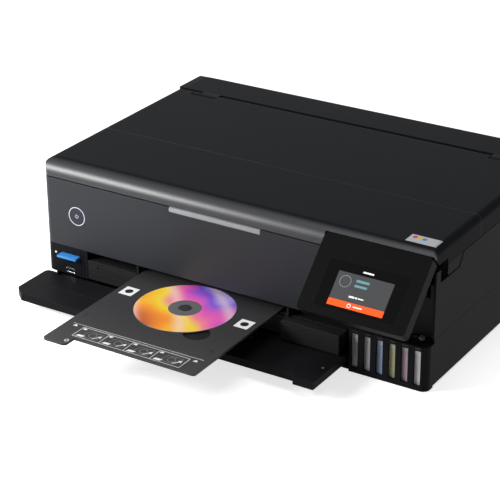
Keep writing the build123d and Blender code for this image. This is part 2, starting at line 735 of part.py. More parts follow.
# ================================================================== scanner unit
scanner_half = right - wall - scanner_side_gap
scanner_front = front + wall + 4.4  # room for the lower edge, which swings forward as the unit lifts
scanner_rear = front + scanner_depth
scanner_top = lid_front_seam - 1.4
panel_bay_rear = axis_y + roll_radius + 2
bezel_sheet = 2.0
glass_x = -20.0
glass_y = front + 168.0
with BuildPart() as scanner_case:
    block(-scanner_half, scanner_half, scanner_front, scanner_rear, scanner_floor, scanner_top, radius=6)
    block(-scanner_half + 2, scanner_half - 2, panel_bay_rear + 2, scanner_rear - 2,
          scanner_floor + 2, scanner_top - bezel_sheet, mode=Mode.SUBTRACT)
    block(-scanner_half + 2, panel_left - 4, scanner_front + 2, scanner_rear - 2,
          scanner_floor + 2, scanner_top - bezel_sheet, mode=Mode.SUBTRACT)
    block(panel_left - 2, scanner_half + 1, scanner_front - 1, panel_bay_rear, scanner_floor - 1,
          scanner_top + 1, mode=Mode.SUBTRACT)
    block(glass_x - glass_width / 2 + 4, glass_x + glass_width / 2 - 4, glass_y - glass_depth / 2 + 4,
          glass_y + glass_depth / 2 - 4, scanner_top - 3, scanner_top + 1, mode=Mode.SUBTRACT)
    # grip at the right that fills the notch in the side cover
    with BuildSketch(Plane.YZ.offset(scanner_half - 1)):
        with BuildLine():
            Polyline(
                (panel_bay_rear + 2, high_seam),
                (panel_bay_rear + 2, high_seam - notch_depth + 1.2),
                (front + notch_start + notch_length - 1, high_seam - notch_depth + 1.2),
                (front + notch_start + notch_length + notch_slope - 2, high_seam),
                close=True,
            )
        make_face()
    extrude(amount=right - scanner_half + 0.6)
    # hinge knuckles that stand up into the lid's rear edge
    for side in (-1, 1):
        a, b = side * scanner_knuckle[0], side * scanner_knuckle[1]
        rod(min(a, b), max(a, b), hinge_y, hinge_z, hinge_radius)
        block(min(a, b), max(a, b), hinge_y - hinge_radius, hinge_y + 2, scanner_top - 1, hinge_z)
        rod(min(a, b) - 1, max(a, b) + 1, hinge_y, hinge_z, hinge_pin_radius + 0.08, mode=Mode.SUBTRACT)
save(scanner_case, "scanner_case")

with BuildPart() as scanner_glass:
    block(glass_x - glass_width / 2, glass_x + glass_width / 2, glass_y - glass_depth / 2,
          glass_y + glass_depth / 2, scanner_top - bezel_sheet - glass_thickness, scanner_top - bezel_sheet)
save(scanner_glass, "scanner_glass")

scan_rail_radius = 3.0
scan_rail_z = scanner_floor + 6.0
with BuildPart() as scan_rail:
    rod(-scanner_half + 2, scanner_half - 2, glass_y, scan_rail_z, scan_rail_radius)
save(scan_rail, "scan_rail")

with BuildPart() as scan_carriage:
    block(glass_x - glass_width / 2, glass_x - glass_width / 2 + 22, glass_y - glass_depth / 2 + 4,
          glass_y + glass_depth / 2 - 4, scan_rail_z - 2.5, scanner_top - bezel_sheet - glass_thickness - 0.6)
    rod(glass_x - glass_width / 2 - 1, glass_x - glass_width / 2 + 23, glass_y, scan_rail_z,
        scan_rail_radius + 0.08, mode=Mode.SUBTRACT)
save(scan_carriage, "scan_carriage")

# ------------------------------------------------------------------ document cover


with BuildPart() as document_cover:
    # flat top between the rolled front edge and a rear edge rolled round the hinge
    with BuildSketch(Plane.YZ.offset(left)):
        with BuildLine():
            roll = RadiusArc((front, axis_z), (axis_y, body_height), roll_radius)
            Line(roll @ 1, (hinge_y, body_height))
            ThreePointArc((hinge_y, body_height), (lid_rear, hinge_z), (hinge_y, hinge_z - hinge_radius))
            Polyline(
                (hinge_y, hinge_z - hinge_radius), (hinge_y - 3, hinge_z - hinge_radius),
                (hinge_y - 3, lid_skirt_bottom), (front, lid_skirt_bottom), roll @ 0,
            )
        make_face()
    extrude(amount=body_width)
    with BuildSketch(Plane.XY.offset(lid_skirt_bottom)):
        span(left, right, front, lid_rear + corner_radius, corner_radius)
    extrude(amount=body_height, mode=Mode.INTERSECT)
    with BuildSketch(Plane.XZ.offset(-front + 1)):
        span(left, right, lid_skirt_bottom - 2 * lid_side_radius, body_height, lid_side_radius)
    extrude(amount=-(body_depth + 2), mode=Mode.INTERSECT)
    # hollow underside, cut with straight sides
    inner_roll = roll_radius - wall
    hollow = [(axis_y - inner_roll * cos(radians(t)), axis_z + inner_roll * sin(radians(t))) for t in (0, 30, 60, 90)]
    with BuildSketch(Plane.YZ.offset(left + wall)):
        with BuildLine():
            Polyline(
                (front + wall, lid_skirt_bottom - 1), *hollow,
                (hinge_y, body_height - wall), (hinge_y + 3.5, hinge_z + 4.4), (hinge_y + 3.5, hinge_z - 4.4),
                (hinge_y - 3, hinge_z - 4.4), (hinge_y - 3, lid_skirt_bottom - 1), close=True,
            )
        make_face()
    extrude(amount=body_width - 2 * wall, mode=Mode.SUBTRACT)
    # bosses on the hinge rod, and room for the knuckles
    for side in (-1, 1):
        a, b = side * (body_knuckle[0] - 8), side * (body_knuckle[0] - 1)
        block(min(a, b), max(a, b), hinge_y - 4.5, hinge_y + 4.5, hinge_z - 5, hinge_z + 6)
        rod(min(a, b) - 1, max(a, b) + 1, hinge_y, hinge_z, hinge_pin_radius + 0.08, mode=Mode.SUBTRACT)
        a, b = side * (body_knuckle[0] - seam), side * (scanner_knuckle[1] + seam)
        block(min(a, b), max(a, b), hinge_y - hinge_radius - seam, lid_rear + 1, lid_front_seam, body_height + 1,
              mode=Mode.SUBTRACT)
    # front edge ends at the fascia; the right-hand end is open for the control panel
    block(left - 1, right + 1, front - 1, front + 12, lid_skirt_bottom - 1, lid_front_seam, mode=Mode.SUBTRACT)
    with BuildSketch(Plane.YZ.offset(fascia_right)):
        with BuildLine():
            Polyline(
                swung(0, 0), swung(3 * roll_radius, 3), (front - 30, lid_skirt_bottom - 5),
                (panel_bay_rear, lid_skirt_bottom - 5), (panel_bay_rear, axis_z), close=True,
            )
        make_face()
    extrude(amount=right - fascia_right + 1, mode=Mode.SUBTRACT)
    # crease across the lid
    block(left - 1, right + 1, front + 123, front + 123.6, body_height - 0.35, body_height + 1, mode=Mode.SUBTRACT)
save(document_cover, "document_cover")

liner_bottom = lid_front_seam + 1.0
liner_rear = hinge_y - hinge_radius - 4
with BuildPart() as cover_liner:
    block(left + wall, right - wall, panel_bay_rear + 2, liner_rear, liner_bottom, liner_bottom + 2)
    for x in range(-200, 241, 88):
        block(x, x + 2, panel_bay_rear + 2, liner_rear, liner_bottom + 2, body_height - wall)
save(cover_liner, "cover_liner")

with BuildPart() as document_pad:
    block(glass_x - glass_width / 2 - 4, glass_x + glass_width / 2 + 4, glass_y - glass_depth / 2 - 4,
          glass_y + glass_depth / 2 + 4, liner_bottom - pad_thickness + 0.4, liner_bottom)
save(document_pad, "document_pad")

# ================================================================== rear feed
rear_slope = 34.0
flap_depth = 50.0
flap_thickness = 3.0
throat_left, throat_right = -180.0, 180.0
flap_rear = lid_rear + seam + flap_depth
flap_half = right - 12.5
flap_axis_y = flap_rear - seam - flap_thickness / 2
flap_axis_z = body_height - flap_thickness / 2
flap_pin_radius = 1.0
with BuildPart() as rear_top_cover:
    with BuildSketch(Plane.YZ.offset(left)):
        with BuildLine():
            Polyline(
                (lid_rear + seam, high_seam + seam), (lid_rear + seam, body_height),
                (rear - rear_slope, body_height), (rear, body_height - 14), (rear, high_seam + seam), close=True,
            )
        make_face()
    extrude(amount=body_width)
    with BuildSketch(Plane.XY.offset(high_seam)):
        span(left, right, front, rear, corner_radius)
    extrude(amount=body_height, mode=Mode.INTERSECT)
    block(left + wall, right - wall, lid_rear + seam + wall, rear - wall, high_seam, body_height - 18,
          mode=Mode.SUBTRACT)
    # well for the feed cover and the slot under it
    block(left + 12, right - 12, lid_rear, flap_rear, body_height - flap_thickness - running_gap,
          body_height + 1, mode=Mode.SUBTRACT)
    block(throat_left, throat_right, lid_rear + 8, flap_rear - 6, high_seam, body_height + 1, mode=Mode.SUBTRACT)
    for side in (-1, 1):
        # knuckle that holds the lid's hinge pin, and a cheek below the lid's rear corner
        a, b = side * body_knuckle[0], side * body_knuckle[1]
        rod(min(a, b), max(a, b), hinge_y, hinge_z, hinge_radius)
        block(min(a, b), max(a, b), hinge_y, lid_rear + 0.1, hinge_z - hinge_radius, body_height)
        block(min(a, b), max(a, b), hinge_y, lid_rear + seam + 1, hinge_z - hinge_radius,
              body_height - flap_thickness - running_gap)
        rod(min(a, b) - 1, max(a, b) + 1, hinge_y, hinge_z, hinge_pin_radius, mode=Mode.SUBTRACT)
        a, b = side * (right - wall - 1.1), side * right
        block(min(a, b), max(a, b), hinge_y - 3 + seam, lid_rear + seam + 1, high_seam + seam,
              hinge_z - hinge_radius - seam)
        a, b = side * flap_half, side * (flap_half + 3.2)
        rod(min(a, b), max(a, b), flap_axis_y, flap_axis_z, flap_pin_radius + 0.08, mode=Mode.SUBTRACT)
save(rear_top_cover, "rear_top_cover")

with BuildPart() as rear_feed_cover:
    with BuildSketch(Plane.YZ.offset(-flap_half)) as section:
        span(lid_rear + seam, flap_axis_y, body_height - flap_thickness, body_height)
        with Locations((flap_axis_y, flap_axis_z)):
            Circle(flap_thickness / 2)
    extrude(section.sketch, amount=2 * flap_half)
    rod(-flap_half - 2.6, flap_half + 2.6, flap_axis_y, flap_axis_z, flap_pin_radius)
save(rear_feed_cover, "rear_feed_cover")

with BuildPart() as paper_chute:
    with BuildSketch(Plane.YZ.offset(throat_left)):
        with BuildLine():
            Polyline(
                (flap_rear - 6, high_seam), (flap_rear - 9, high_seam), (lid_rear - 40, low_seam + 4),
                (lid_rear - 40, low_seam - 0.1), (lid_rear - 34, low_seam - 0.1), close=True,
            )
        make_face()
    extrude(amount=throat_right - throat_left)
save(paper_chute, "paper_chute")

# ================================================================== print mechanism
frame_top = 112.0
rail_y = front + rail_depth_at
with BuildPart() as carriage_rail:
    block(left + wall + 2, bay_right + bay_wall, rail_y, rail_y + 2, low_seam + 6, frame_top)
    block(left + wall + 2, bay_right + bay_wall, rail_y - 10, rail_y, frame_top - 2, frame_top)
    for x in (bay_left - bay_wall, bay_right):
        block(x, x + bay_wall, rail_y - 20, rail_y + 40, low_seam - seam, frame_top)
save(carriage_rail, "carriage_rail")

carriage_x = 20.0
with BuildPart() as print_carriage:
    block(carriage_x - carriage_width / 2, carriage_x + carriage_width / 2, rail_y - carriage_depth - 0.4,
          rail_y - 0.4, platen_top + 6, frame_top - 2.4)
    block(carriage_x - 30, carriage_x + 30, rail_y - 9, rail_y - 0.4, frame_top - 2.4, frame_top - 2.3)
save(print_carriage, "print_carriage")

roller_y = rail_y + 32
roller_z = platen_top - roller_radius
with BuildPart() as platen:
    block(bay_left, bay_right, front + output_tray_depth + 2, roller_y - roller_radius - 3, platen_top - 2, platen_top)
save(platen, "platen")

with BuildPart() as feed_roller:
    rod(bay_left + running_gap, bay_right - running_gap, roller_y, roller_z, roller_radius)
save(feed_roller, "feed_roller")

with BuildPart() as mainboard:
    block(left + 8, bay_left - bay_wall - 2, front + 60, front + 280, floor_top + 6, floor_top + 7.6)
    for y in (front + 70, front + 270):
        for x in (left + 14, bay_left - bay_wall - 8):
            block(x - 2, x + 2, y - 2, y + 2, floor_top, floor_top + 6)
save(mainboard, "mainboard")

with BuildPart() as power_supply:
    block(inlet_x - 40, inlet_x + 40, rear - 74, rear - 24.5, low_seam + 4, low_seam + 44)
    block(left + wall, inlet_x - 36, rear - 60, rear - 40, low_seam + 4, low_seam + 8)
save(power_supply, "power_supply")
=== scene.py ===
"""Looks of a wide photo printer with its disc tray run out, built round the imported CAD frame.

Millimetres are used for the sizes in this file and turned into metres where a mesh is made.
X runs to the right seen from the front, Y towards the back and Z up, as in the CAD frame.
"""

from __future__ import annotations

import json
import logging
import math
from collections.abc import Callable, Iterable, Sequence
from dataclasses import dataclass
from enum import Enum

import bpy
from mathutils import Matrix, Vector

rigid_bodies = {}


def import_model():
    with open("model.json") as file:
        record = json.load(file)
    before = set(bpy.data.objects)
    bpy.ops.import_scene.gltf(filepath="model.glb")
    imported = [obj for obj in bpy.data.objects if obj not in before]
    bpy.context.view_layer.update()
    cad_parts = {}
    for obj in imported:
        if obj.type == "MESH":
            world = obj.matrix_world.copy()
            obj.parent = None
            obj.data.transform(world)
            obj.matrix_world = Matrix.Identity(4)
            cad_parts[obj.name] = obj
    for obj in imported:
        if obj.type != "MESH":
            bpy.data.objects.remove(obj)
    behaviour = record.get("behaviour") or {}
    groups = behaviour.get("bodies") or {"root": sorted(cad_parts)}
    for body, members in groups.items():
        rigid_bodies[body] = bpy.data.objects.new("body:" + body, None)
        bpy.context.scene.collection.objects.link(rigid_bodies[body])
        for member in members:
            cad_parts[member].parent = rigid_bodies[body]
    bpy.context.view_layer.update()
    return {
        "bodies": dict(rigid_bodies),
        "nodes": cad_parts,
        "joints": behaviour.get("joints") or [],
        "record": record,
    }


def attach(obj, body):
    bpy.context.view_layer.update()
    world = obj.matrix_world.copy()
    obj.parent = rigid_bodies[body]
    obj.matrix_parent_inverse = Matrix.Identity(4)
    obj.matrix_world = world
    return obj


log = logging.getLogger("disc_label_printer")

MM = 0.001
PRINT_HEIGHT = 0.06  # a printed shape's thickness, and how high a second one lies over it
OVERPRINT_HEIGHT = 0.04  # the thickness of that second one
MIDDLE = 0.5  # of a noise or a colour ramp, which run from 0 to 1
Point = tuple[float, float]
Place = tuple[float, float, float]
Edges = tuple[float, float, float, float]
Colour = tuple[float, float, float]
Loop = list[Point]
Paints = dict[str, bpy.types.Material]
Tree = bpy.types.NodeTree
Node = bpy.types.Node
Socket = bpy.types.NodeSocket


# ------------------------------------------------------------------ node helpers
COLOUR_A, COLOUR_B, COLOUR_RESULT = 6, 7, 2  # where the Mix node has its colour sockets


def link(tree: Tree, source: Socket, target: Socket) -> None:
    """Join two sockets of a tree."""
    tree.links.new(source, target)


def new_group(name: str, family: str, inputs: dict[str, str],
              outputs: dict[str, str]) -> tuple[Tree, Node, Node]:
    """Start a node group with named sockets, whose values are set where the group is used.

    Args:
        name: the group's name.
        family: Blender's name of its kind of tree.
        inputs: the socket type of each input, by its name.
        outputs: the socket type of each output, by its name.

    Returns:
        The group, its input node and its output node.
    """
    tree = bpy.data.node_groups.new(name, family)
    for side, sockets in (("INPUT", inputs), ("OUTPUT", outputs)):
        for label, kind in sockets.items():
            tree.interface.new_socket(label, in_out=side, socket_type=kind)
    return tree, tree.nodes.new("NodeGroupInput"), tree.nodes.new("NodeGroupOutput")


def math_node(tree: Tree, operation: str, first: Socket | float,
              second: Socket | float = 0.0, clamp: bool = False) -> Socket:
    """Add a Math node whose inputs are sockets or numbers.

    Args:
        tree: the tree to add to.
        operation: Blender's name of the operation.
        first: a socket or a number.
        second: a socket or a number; unused by an operation with one input.
        clamp: keep the result between 0 and 1.

    Returns:
        The result's socket.
    """
    node = tree.nodes.new("ShaderNodeMath")
    node.operation = operation
    node.use_clamp = clamp
    for place, value in ((0, first), (1, second)):
        if isinstance(value, (int, float)):
            node.inputs[place].default_value = value
        else:
            link(tree, value, node.inputs[place])
    return node.outputs[0]


def mix_colour(tree: Tree, factor: Socket, low: Socket | Colour,
               high: Socket | Colour) -> Socket:
    """Mix two colours, each a socket or a plain colour, and give the result's socket."""
    node = tree.nodes.new("ShaderNodeMix")
    node.data_type = "RGBA"
    link(tree, factor, node.inputs[0])
    for place, value in ((COLOUR_A, low), (COLOUR_B, high)):
        if isinstance(value, tuple):
            node.inputs[place].default_value = (*value, 1.0)
        else:
            link(tree, value, node.inputs[place])
    return node.outputs[COLOUR_RESULT]


def object_place(tree: Tree) -> Socket:
    """The shaded point in the object's own frame, in metres."""
    return tree.nodes.new("ShaderNodeTexCoord").outputs["Object"]


def axes(tree: Tree, place: Socket) -> tuple[Socket, Socket, Socket]:
    """The X, Y and Z of a place."""
    split = tree.nodes.new("ShaderNodeSeparateXYZ")
    link(tree, place, split.inputs[0])
    return split.outputs["X"], split.outputs["Y"], split.outputs["Z"]


def within_band(tree: Tree, along: Socket, middle: float, half: float) -> Socket:
    """A mask that is 1 in a straight band.

    Args:
        tree: the tree to add to.
        along: the coordinate that the band crosses, in metres.
        middle: the band's middle, in millimetres.
        half: half the band's width, in millimetres.

    Returns:
        The mask's socket.
    """
    offset = math_node(tree, "ABSOLUTE", math_node(tree, "SUBTRACT", along, middle * MM))
    return math_node(tree, "LESS_THAN", offset, half * MM)


def within_round(tree: Tree, x: Socket, y: Socket, centre: Point,
                 radius: float) -> Socket:
    """A mask that is 1 inside an upright round column.

    Args:
        tree: the tree to add to.
        x: the shaded point's X, in metres.
        y: the shaded point's Y, in metres.
        centre: the column's middle, in millimetres.
        radius: the column's radius, in millimetres.

    Returns:
        The mask's socket.
    """
    across, along = (
        math_node(tree, "POWER", math_node(tree, "SUBTRACT", socket, middle * MM), 2.0)
        for socket, middle in zip((x, y), centre)
    )
    return math_node(tree, "LESS_THAN", math_node(tree, "ADD", across, along), (radius * MM) ** 2)


class Effects:
    """Shader node groups that every finish shares."""

    fine_detail: float = 2.0
    broad_detail: float = 4.0
    broad_scale: float = 11.0
    bevel_samples: int = 4
    edge_gain: float = 4.0  # how soon the mask of edge wear and painted edge highlight reaches 1 as a surface bends

    def __init__(self) -> None:
        """Build each group once."""
        self.grain = self._grain()
        self.edges = self._edges()

    def _grain(self) -> Tree:
        """Moulded grain: fine texture, and broad changes of tone and gloss."""
        tree, given, result = new_group(
            "moulded_grain", "ShaderNodeTree",
            {"Colour": "NodeSocketColor", "Scale": "NodeSocketFloat", "Tone": "NodeSocketFloat",
             "Roughness": "NodeSocketFloat", "Spread": "NodeSocketFloat"},
            {"Colour": "NodeSocketColor", "Roughness": "NodeSocketFloat", "Height": "NodeSocketFloat"},
        )
        place = object_place(tree)
        fine = tree.nodes.new("ShaderNodeTexNoise")
        broad = tree.nodes.new("ShaderNodeTexNoise")
        for noise, detail in ((fine, self.fine_detail), (broad, self.broad_detail)):
            noise.inputs["Detail"].default_value = detail
            link(tree, place, noise.inputs["Vector"])
        link(tree, given.outputs["Scale"], fine.inputs["Scale"])
        broad.inputs["Scale"].default_value = self.broad_scale
        offset = math_node(tree, "SUBTRACT", broad.outputs["Fac"], MIDDLE)
        speck = math_node(tree, "SUBTRACT", fine.outputs["Fac"], MIDDLE)
        both = math_node(tree, "ADD", offset, speck)
        tone = math_node(tree, "MULTIPLY", both, given.outputs["Tone"])
        shade = tree.nodes.new("ShaderNodeHueSaturation")
        link(tree, math_node(tree, "ADD", tone, 1.0), shade.inputs["Value"])
        link(tree, given.outputs["Colour"], shade.inputs["Color"])
        link(tree, shade.outputs["Color"], result.inputs["Colour"])
        change = math_node(tree, "MULTIPLY", offset, given.outputs["Spread"])
        gloss = math_node(tree, "ADD", change, given.outputs["Roughness"], clamp=True)
        link(tree, gloss, result.inputs["Roughness"])
        link(tree, fine.outputs["Fac"], result.inputs["Height"])
        return tree

    def _edges(self) -> Tree:
        """Edge wear and painted edge highlight: a mask that is 1 on rounded-off edges, and the softened
        normal.
        """
        tree, given, result = new_group(
            "edge_wear_and_highlight", "ShaderNodeTree",
            {"Radius": "NodeSocketFloat", "Amount": "NodeSocketFloat"},
            {"Mask": "NodeSocketFloat", "Normal": "NodeSocketVector"},
        )
        bevel = tree.nodes.new("ShaderNodeBevel")
        bevel.samples = self.bevel_samples
        link(tree, given.outputs["Radius"], bevel.inputs["Radius"])
        surface = tree.nodes.new("ShaderNodeNewGeometry")
        dot = tree.nodes.new("ShaderNodeVectorMath")
        dot.operation = "DOT_PRODUCT"
        link(tree, bevel.outputs["Normal"], dot.inputs[0])
        link(tree, surface.outputs["Normal"], dot.inputs[1])
        bend = math_node(tree, "SUBTRACT", 1.0, dot.outputs["Value"])
        raised = math_node(tree, "MULTIPLY", bend, self.edge_gain, clamp=True)
        link(tree, math_node(tree, "MULTIPLY", raised, given.outputs["Amount"]), result.inputs["Mask"])
        link(tree, bevel.outputs["Normal"], result.inputs["Normal"])
        return tree


# ------------------------------------------------------------------ finishes
@dataclass(frozen=True)
class Finish:
    """A moulded or coated surface with grain, tone changes, and rounded-off edges in an edge colour that
    is partly wear and partly a painted highlight.
    """

    name: str
    colour: Colour
    roughness: float = 0.45
    spread: float = 0.10
    tone: float = 0.16
    grain: float = 1400.0
    bump: float = 0.12
    bump_depth: float = 0.1
    wear: float = 0.35
    worn_and_highlit_edge: Colour = (0.12, 0.12, 0.125)
    edge: float = 0.6
    metallic: float = 0.0
    coat: float = 0.0
    coat_roughness: float = 0.08
    specular: float = 0.5

    def colours(self, tree: Tree) -> Socket | Colour:
        """Where the base colour comes from: a plain colour, unless a subclass paints it."""
        return self.colour

    def build(self, effects: Effects) -> bpy.types.Material:
        """Make the material.

        Args:
            effects: the shared node groups.

        Returns:
            The finished material.
        """
        material = bpy.data.materials.new(self.name)
        material.use_nodes = True
        tree = material.node_tree
        shader = tree.nodes["Principled BSDF"]
        for label, value in (("Metallic", self.metallic), ("Coat Weight", self.coat),
                             ("Coat Roughness", self.coat_roughness),
                             ("Specular IOR Level", self.specular)):
            shader.inputs[label].default_value = value
        grain = tree.nodes.new("ShaderNodeGroup")
        grain.node_tree = effects.grain
        for label, value in (("Scale", self.grain), ("Tone", self.tone),
                             ("Roughness", self.roughness), ("Spread", self.spread)):
            grain.inputs[label].default_value = value
        source = self.colours(tree)
        if isinstance(source, tuple):
            grain.inputs["Colour"].default_value = (*source, 1.0)
        else:
            link(tree, source, grain.inputs["Colour"])
        edges = tree.nodes.new("ShaderNodeGroup")
        edges.node_tree = effects.edges
        edges.inputs["Radius"].default_value = self.edge * MM
        edges.inputs["Amount"].default_value = self.wear
        # rounded-off edges take the edge colour: partly wear, partly a painted highlight
        skin = mix_colour(tree, edges.outputs["Mask"], grain.outputs["Colour"], self.worn_and_highlit_edge)
        link(tree, skin, shader.inputs["Base Color"])
        link(tree, grain.outputs["Roughness"], shader.inputs["Roughness"])
        bump = tree.nodes.new("ShaderNodeBump")
        bump.inputs["Strength"].default_value = self.bump
        bump.inputs["Distance"].default_value = self.bump_depth * MM
        link(tree, grain.outputs["Height"], bump.inputs["Height"])
        link(tree, edges.outputs["Normal"], bump.inputs["Normal"])
        link(tree, bump.outputs["Normal"], shader.inputs["Normal"])
        self.finish_shader(tree, shader)
        return material

    def finish_shader(self, tree: Tree, shader: Node) -> None:
        """Last changes that one kind of finish makes to its shader; none here."""


@dataclass(frozen=True)
class InkFinish(Finish):
    """A translucent tank: ink up to its level, and the paler empty wall above it."""

    roughness: float = 0.25
    bump: float = 0.03
    empty: Colour = (0.3, 0.3, 0.3)
    level: float = 44.0
    blur: float = 0.6

    def colours(self, tree: Tree) -> Socket:
        """The ink's colour below its level, with a soft line where it stands."""
        height = axes(tree, object_place(tree))[2]
        ramp = tree.nodes.new("ShaderNodeMapRange")
        ramp.inputs["From Min"].default_value = (self.level - self.blur) * MM
        ramp.inputs["From Max"].default_value = (self.level + self.blur) * MM
        link(tree, height, ramp.inputs["Value"])
        return mix_colour(tree, ramp.outputs["Result"], self.colour, self.empty)


@dataclass(frozen=True)
class LidFinish(Finish):
    """The lid's satin black: a glossier front roll, a painted highlight along the crease and a small
    silver sticker.
    """

    coat_roughness: float = 0.38
    flat_level: float = 168.5
    sticker: Edges = (219.0, 256.0, -74.0, -55.5)
    silver: Colour = (0.55, 0.56, 0.57)
    drops: tuple[tuple[Point, Colour], ...] = (
        ((225.0, -61.0), (0.62, 0.05, 0.28)),
        ((231.0, -61.6), (0.85, 0.60, 0.03)),
        ((237.0, -62.2), (0.02, 0.33, 0.68)),
    )
    drop_radius: float = 2.9
    roll_rear: float = -86.0
    roll_fade: float = 7.0
    roll_gloss: float = 1.0
    crease: float = 29.3
    crease_half: float = 0.45
    # the paler colour of the line along the crease: a painted highlight
    crease_highlight: Colour = (0.05, 0.053, 0.058)

    def colours(self, tree: Tree) -> Socket:
        """Black, with a painted highlight along the crease, and on the flat top the sticker and its three
        drops of colour.
        """
        x, y, z = axes(tree, object_place(tree))
        left, right, near, far = self.sticker
        mask = math_node(tree, "GREATER_THAN", z, self.flat_level * MM)
        for socket, low, high in ((x, left, right), (y, near, far)):
            band = within_band(tree, socket, (low + high) / 2, (high - low) / 2)
            mask = math_node(tree, "MULTIPLY", mask, band)
        sticker: Socket | Colour = self.silver
        for centre, colour in self.drops:
            drop = within_round(tree, x, y, centre, self.drop_radius)
            sticker = mix_colour(tree, drop, sticker, colour)
        # a thin paler line painted along the crease: a painted highlight
        crease = within_band(tree, y, self.crease, self.crease_half)
        return mix_colour(tree, mask, mix_colour(tree, crease, self.colour, self.crease_highlight), sticker)

    def finish_shader(self, tree: Tree, shader: Node) -> None:
        """A satin sheen on the rolled front edge."""
        fade = tree.nodes.new("ShaderNodeMapRange")
        fade.inputs["From Min"].default_value = (self.roll_rear + self.roll_fade) * MM
        fade.inputs["From Max"].default_value = self.roll_rear * MM
        fade.inputs["To Max"].default_value = self.roll_gloss
        link(tree, axes(tree, object_place(tree))[1], fade.inputs["Value"])
        link(tree, fade.outputs["Result"], shader.inputs["Coat Weight"])


@dataclass(frozen=True)
class TrayFinish(Finish):
    """The disc tray's grey, with painted shade in the thumb recess beside the disc."""

    recess: Point = (21.4, -187.8)
    recess_radius: float = 15.7
    # painted shade for the thumb recess
    shade: Colour = (0.003, 0.003, 0.003)

    def colours(self, tree: Tree) -> Socket:
        """Grey, with painted shade over the recess's floor and wall."""
        x, y, _ = axes(tree, object_place(tree))
        # the recess is painted dark: painted shade
        inside = within_round(tree, x, y, self.recess, self.recess_radius)
        return mix_colour(tree, inside, self.colour, self.shade)


@dataclass(frozen=True)
class DiscFinish(Finish):
    """A printed disc: flowing ribbons of warm and violet colour round a bare grey middle."""

    centre: Point = (-24.6, -142.8)
    bare_radius: float = 19.5
    print_radius: float = 59.0
    slope: Point = (0.20, 0.36)
    swirl_scale: float = 16.0
    swirl_detail: float = 1.0
    swirl_reach: float = 0.7
    stops: tuple[tuple[float, Colour], ...] = (
        (0.0, (0.55, 0.10, 0.02)),
        (0.20, (1.0, 0.30, 0.01)),
        (0.36, (1.0, 0.72, 0.02)),
        (0.50, (0.95, 0.25, 0.30)),
        (0.64, (0.86, 0.10, 0.52)),
        (0.80, (0.22, 0.10, 0.72)),
        (0.95, (0.52, 0.42, 0.95)),
    )
    ribbons: tuple[tuple[str, float], ...] = (
        ("Scale", 9.0), ("Distortion", 5.0), ("Detail", 0.0), ("Detail Scale", 0.7),
    )
    shine: Colour = (1.0, 0.82, 0.72)
    shine_level: float = 0.45
    shine_power: float = 6.0

    def bands(self, tree: Tree, place: Socket, x: Socket, y: Socket) -> Socket:
        """The run of colours across the disc, bent by a slow swirl."""
        swirl = tree.nodes.new("ShaderNodeTexNoise")
        swirl.inputs["Scale"].default_value = self.swirl_scale
        swirl.inputs["Detail"].default_value = self.swirl_detail
        link(tree, place, swirl.inputs["Vector"])
        offset = math_node(tree, "SUBTRACT", swirl.outputs["Fac"], MIDDLE)
        bend = math_node(tree, "MULTIPLY", offset, self.swirl_reach)
        across, back = (
            math_node(tree, "MULTIPLY", math_node(tree, "DIVIDE", socket, self.print_radius * MM), share)
            for socket, share in zip((x, y), self.slope)
        )
        run = math_node(tree, "ADD", math_node(tree, "ADD", back, across), bend)
        ramp = tree.nodes.new("ShaderNodeValToRGB")
        while len(ramp.color_ramp.elements) < len(self.stops):
            ramp.color_ramp.elements.new(MIDDLE)
        for element, (position, colour) in zip(ramp.color_ramp.elements, self.stops):
            element.position = position
            element.color = (*colour, 1.0)
        link(tree, math_node(tree, "ADD", run, MIDDLE), ramp.inputs["Fac"])
        return ramp.outputs["Color"]

    def streaks(self, tree: Tree, place: Socket) -> Socket:
        """How much light lies on each ribbon's crest."""
        ribbon = tree.nodes.new("ShaderNodeTexWave")
        ribbon.wave_type = "BANDS"
        ribbon.bands_direction = "DIAGONAL"
        for label, value in self.ribbons:
            ribbon.inputs[label].default_value = value
        link(tree, place, ribbon.inputs["Vector"])
        crest = math_node(tree, "POWER", ribbon.outputs["Fac"], self.shine_power)
        return math_node(tree, "MULTIPLY", crest, self.shine_level)

    def colours(self, tree: Tree) -> Socket:
        """The ribbons with their streaks of light, and the unprinted middle and rim."""
        shift = tree.nodes.new("ShaderNodeMapping")
        shift.inputs["Location"].default_value = (-self.centre[0] * MM, -self.centre[1] * MM, 0.0)
        link(tree, object_place(tree), shift.inputs["Vector"])
        place = shift.outputs[0]
        x, y, _ = axes(tree, place)
        art = mix_colour(tree, self.streaks(tree, place), self.bands(tree, place, x, y), self.shine)
        middle, whole = (within_round(tree, x, y, (0.0, 0.0), radius)
                         for radius in (self.bare_radius, self.print_radius))
        return mix_colour(tree, math_node(tree, "SUBTRACT", whole, middle), self.colour, art)


@dataclass(frozen=True)
class GlassFinish(Finish):
    """Clear glass with a faint tint."""

    refraction: float = 1.5

    def finish_shader(self, tree: Tree, shader: Node) -> None:
        """Make the shader clear."""
        shader.inputs["Transmission Weight"].default_value = 1.0
        shader.inputs["IOR"].default_value = self.refraction


@dataclass(frozen=True)
class LitFinish(Finish):
    """A lit or printed mark: its own colour, partly given off as light."""

    roughness: float = 0.2
    bump: float = 0.0
    wear: float = 0.0
    glow: float = 0.6

    def finish_shader(self, tree: Tree, shader: Node) -> None:
        """Give the mark its light."""
        shader.inputs["Emission Color"].default_value = (*self.colour, 1.0)
        shader.inputs["Emission Strength"].default_value = self.glow


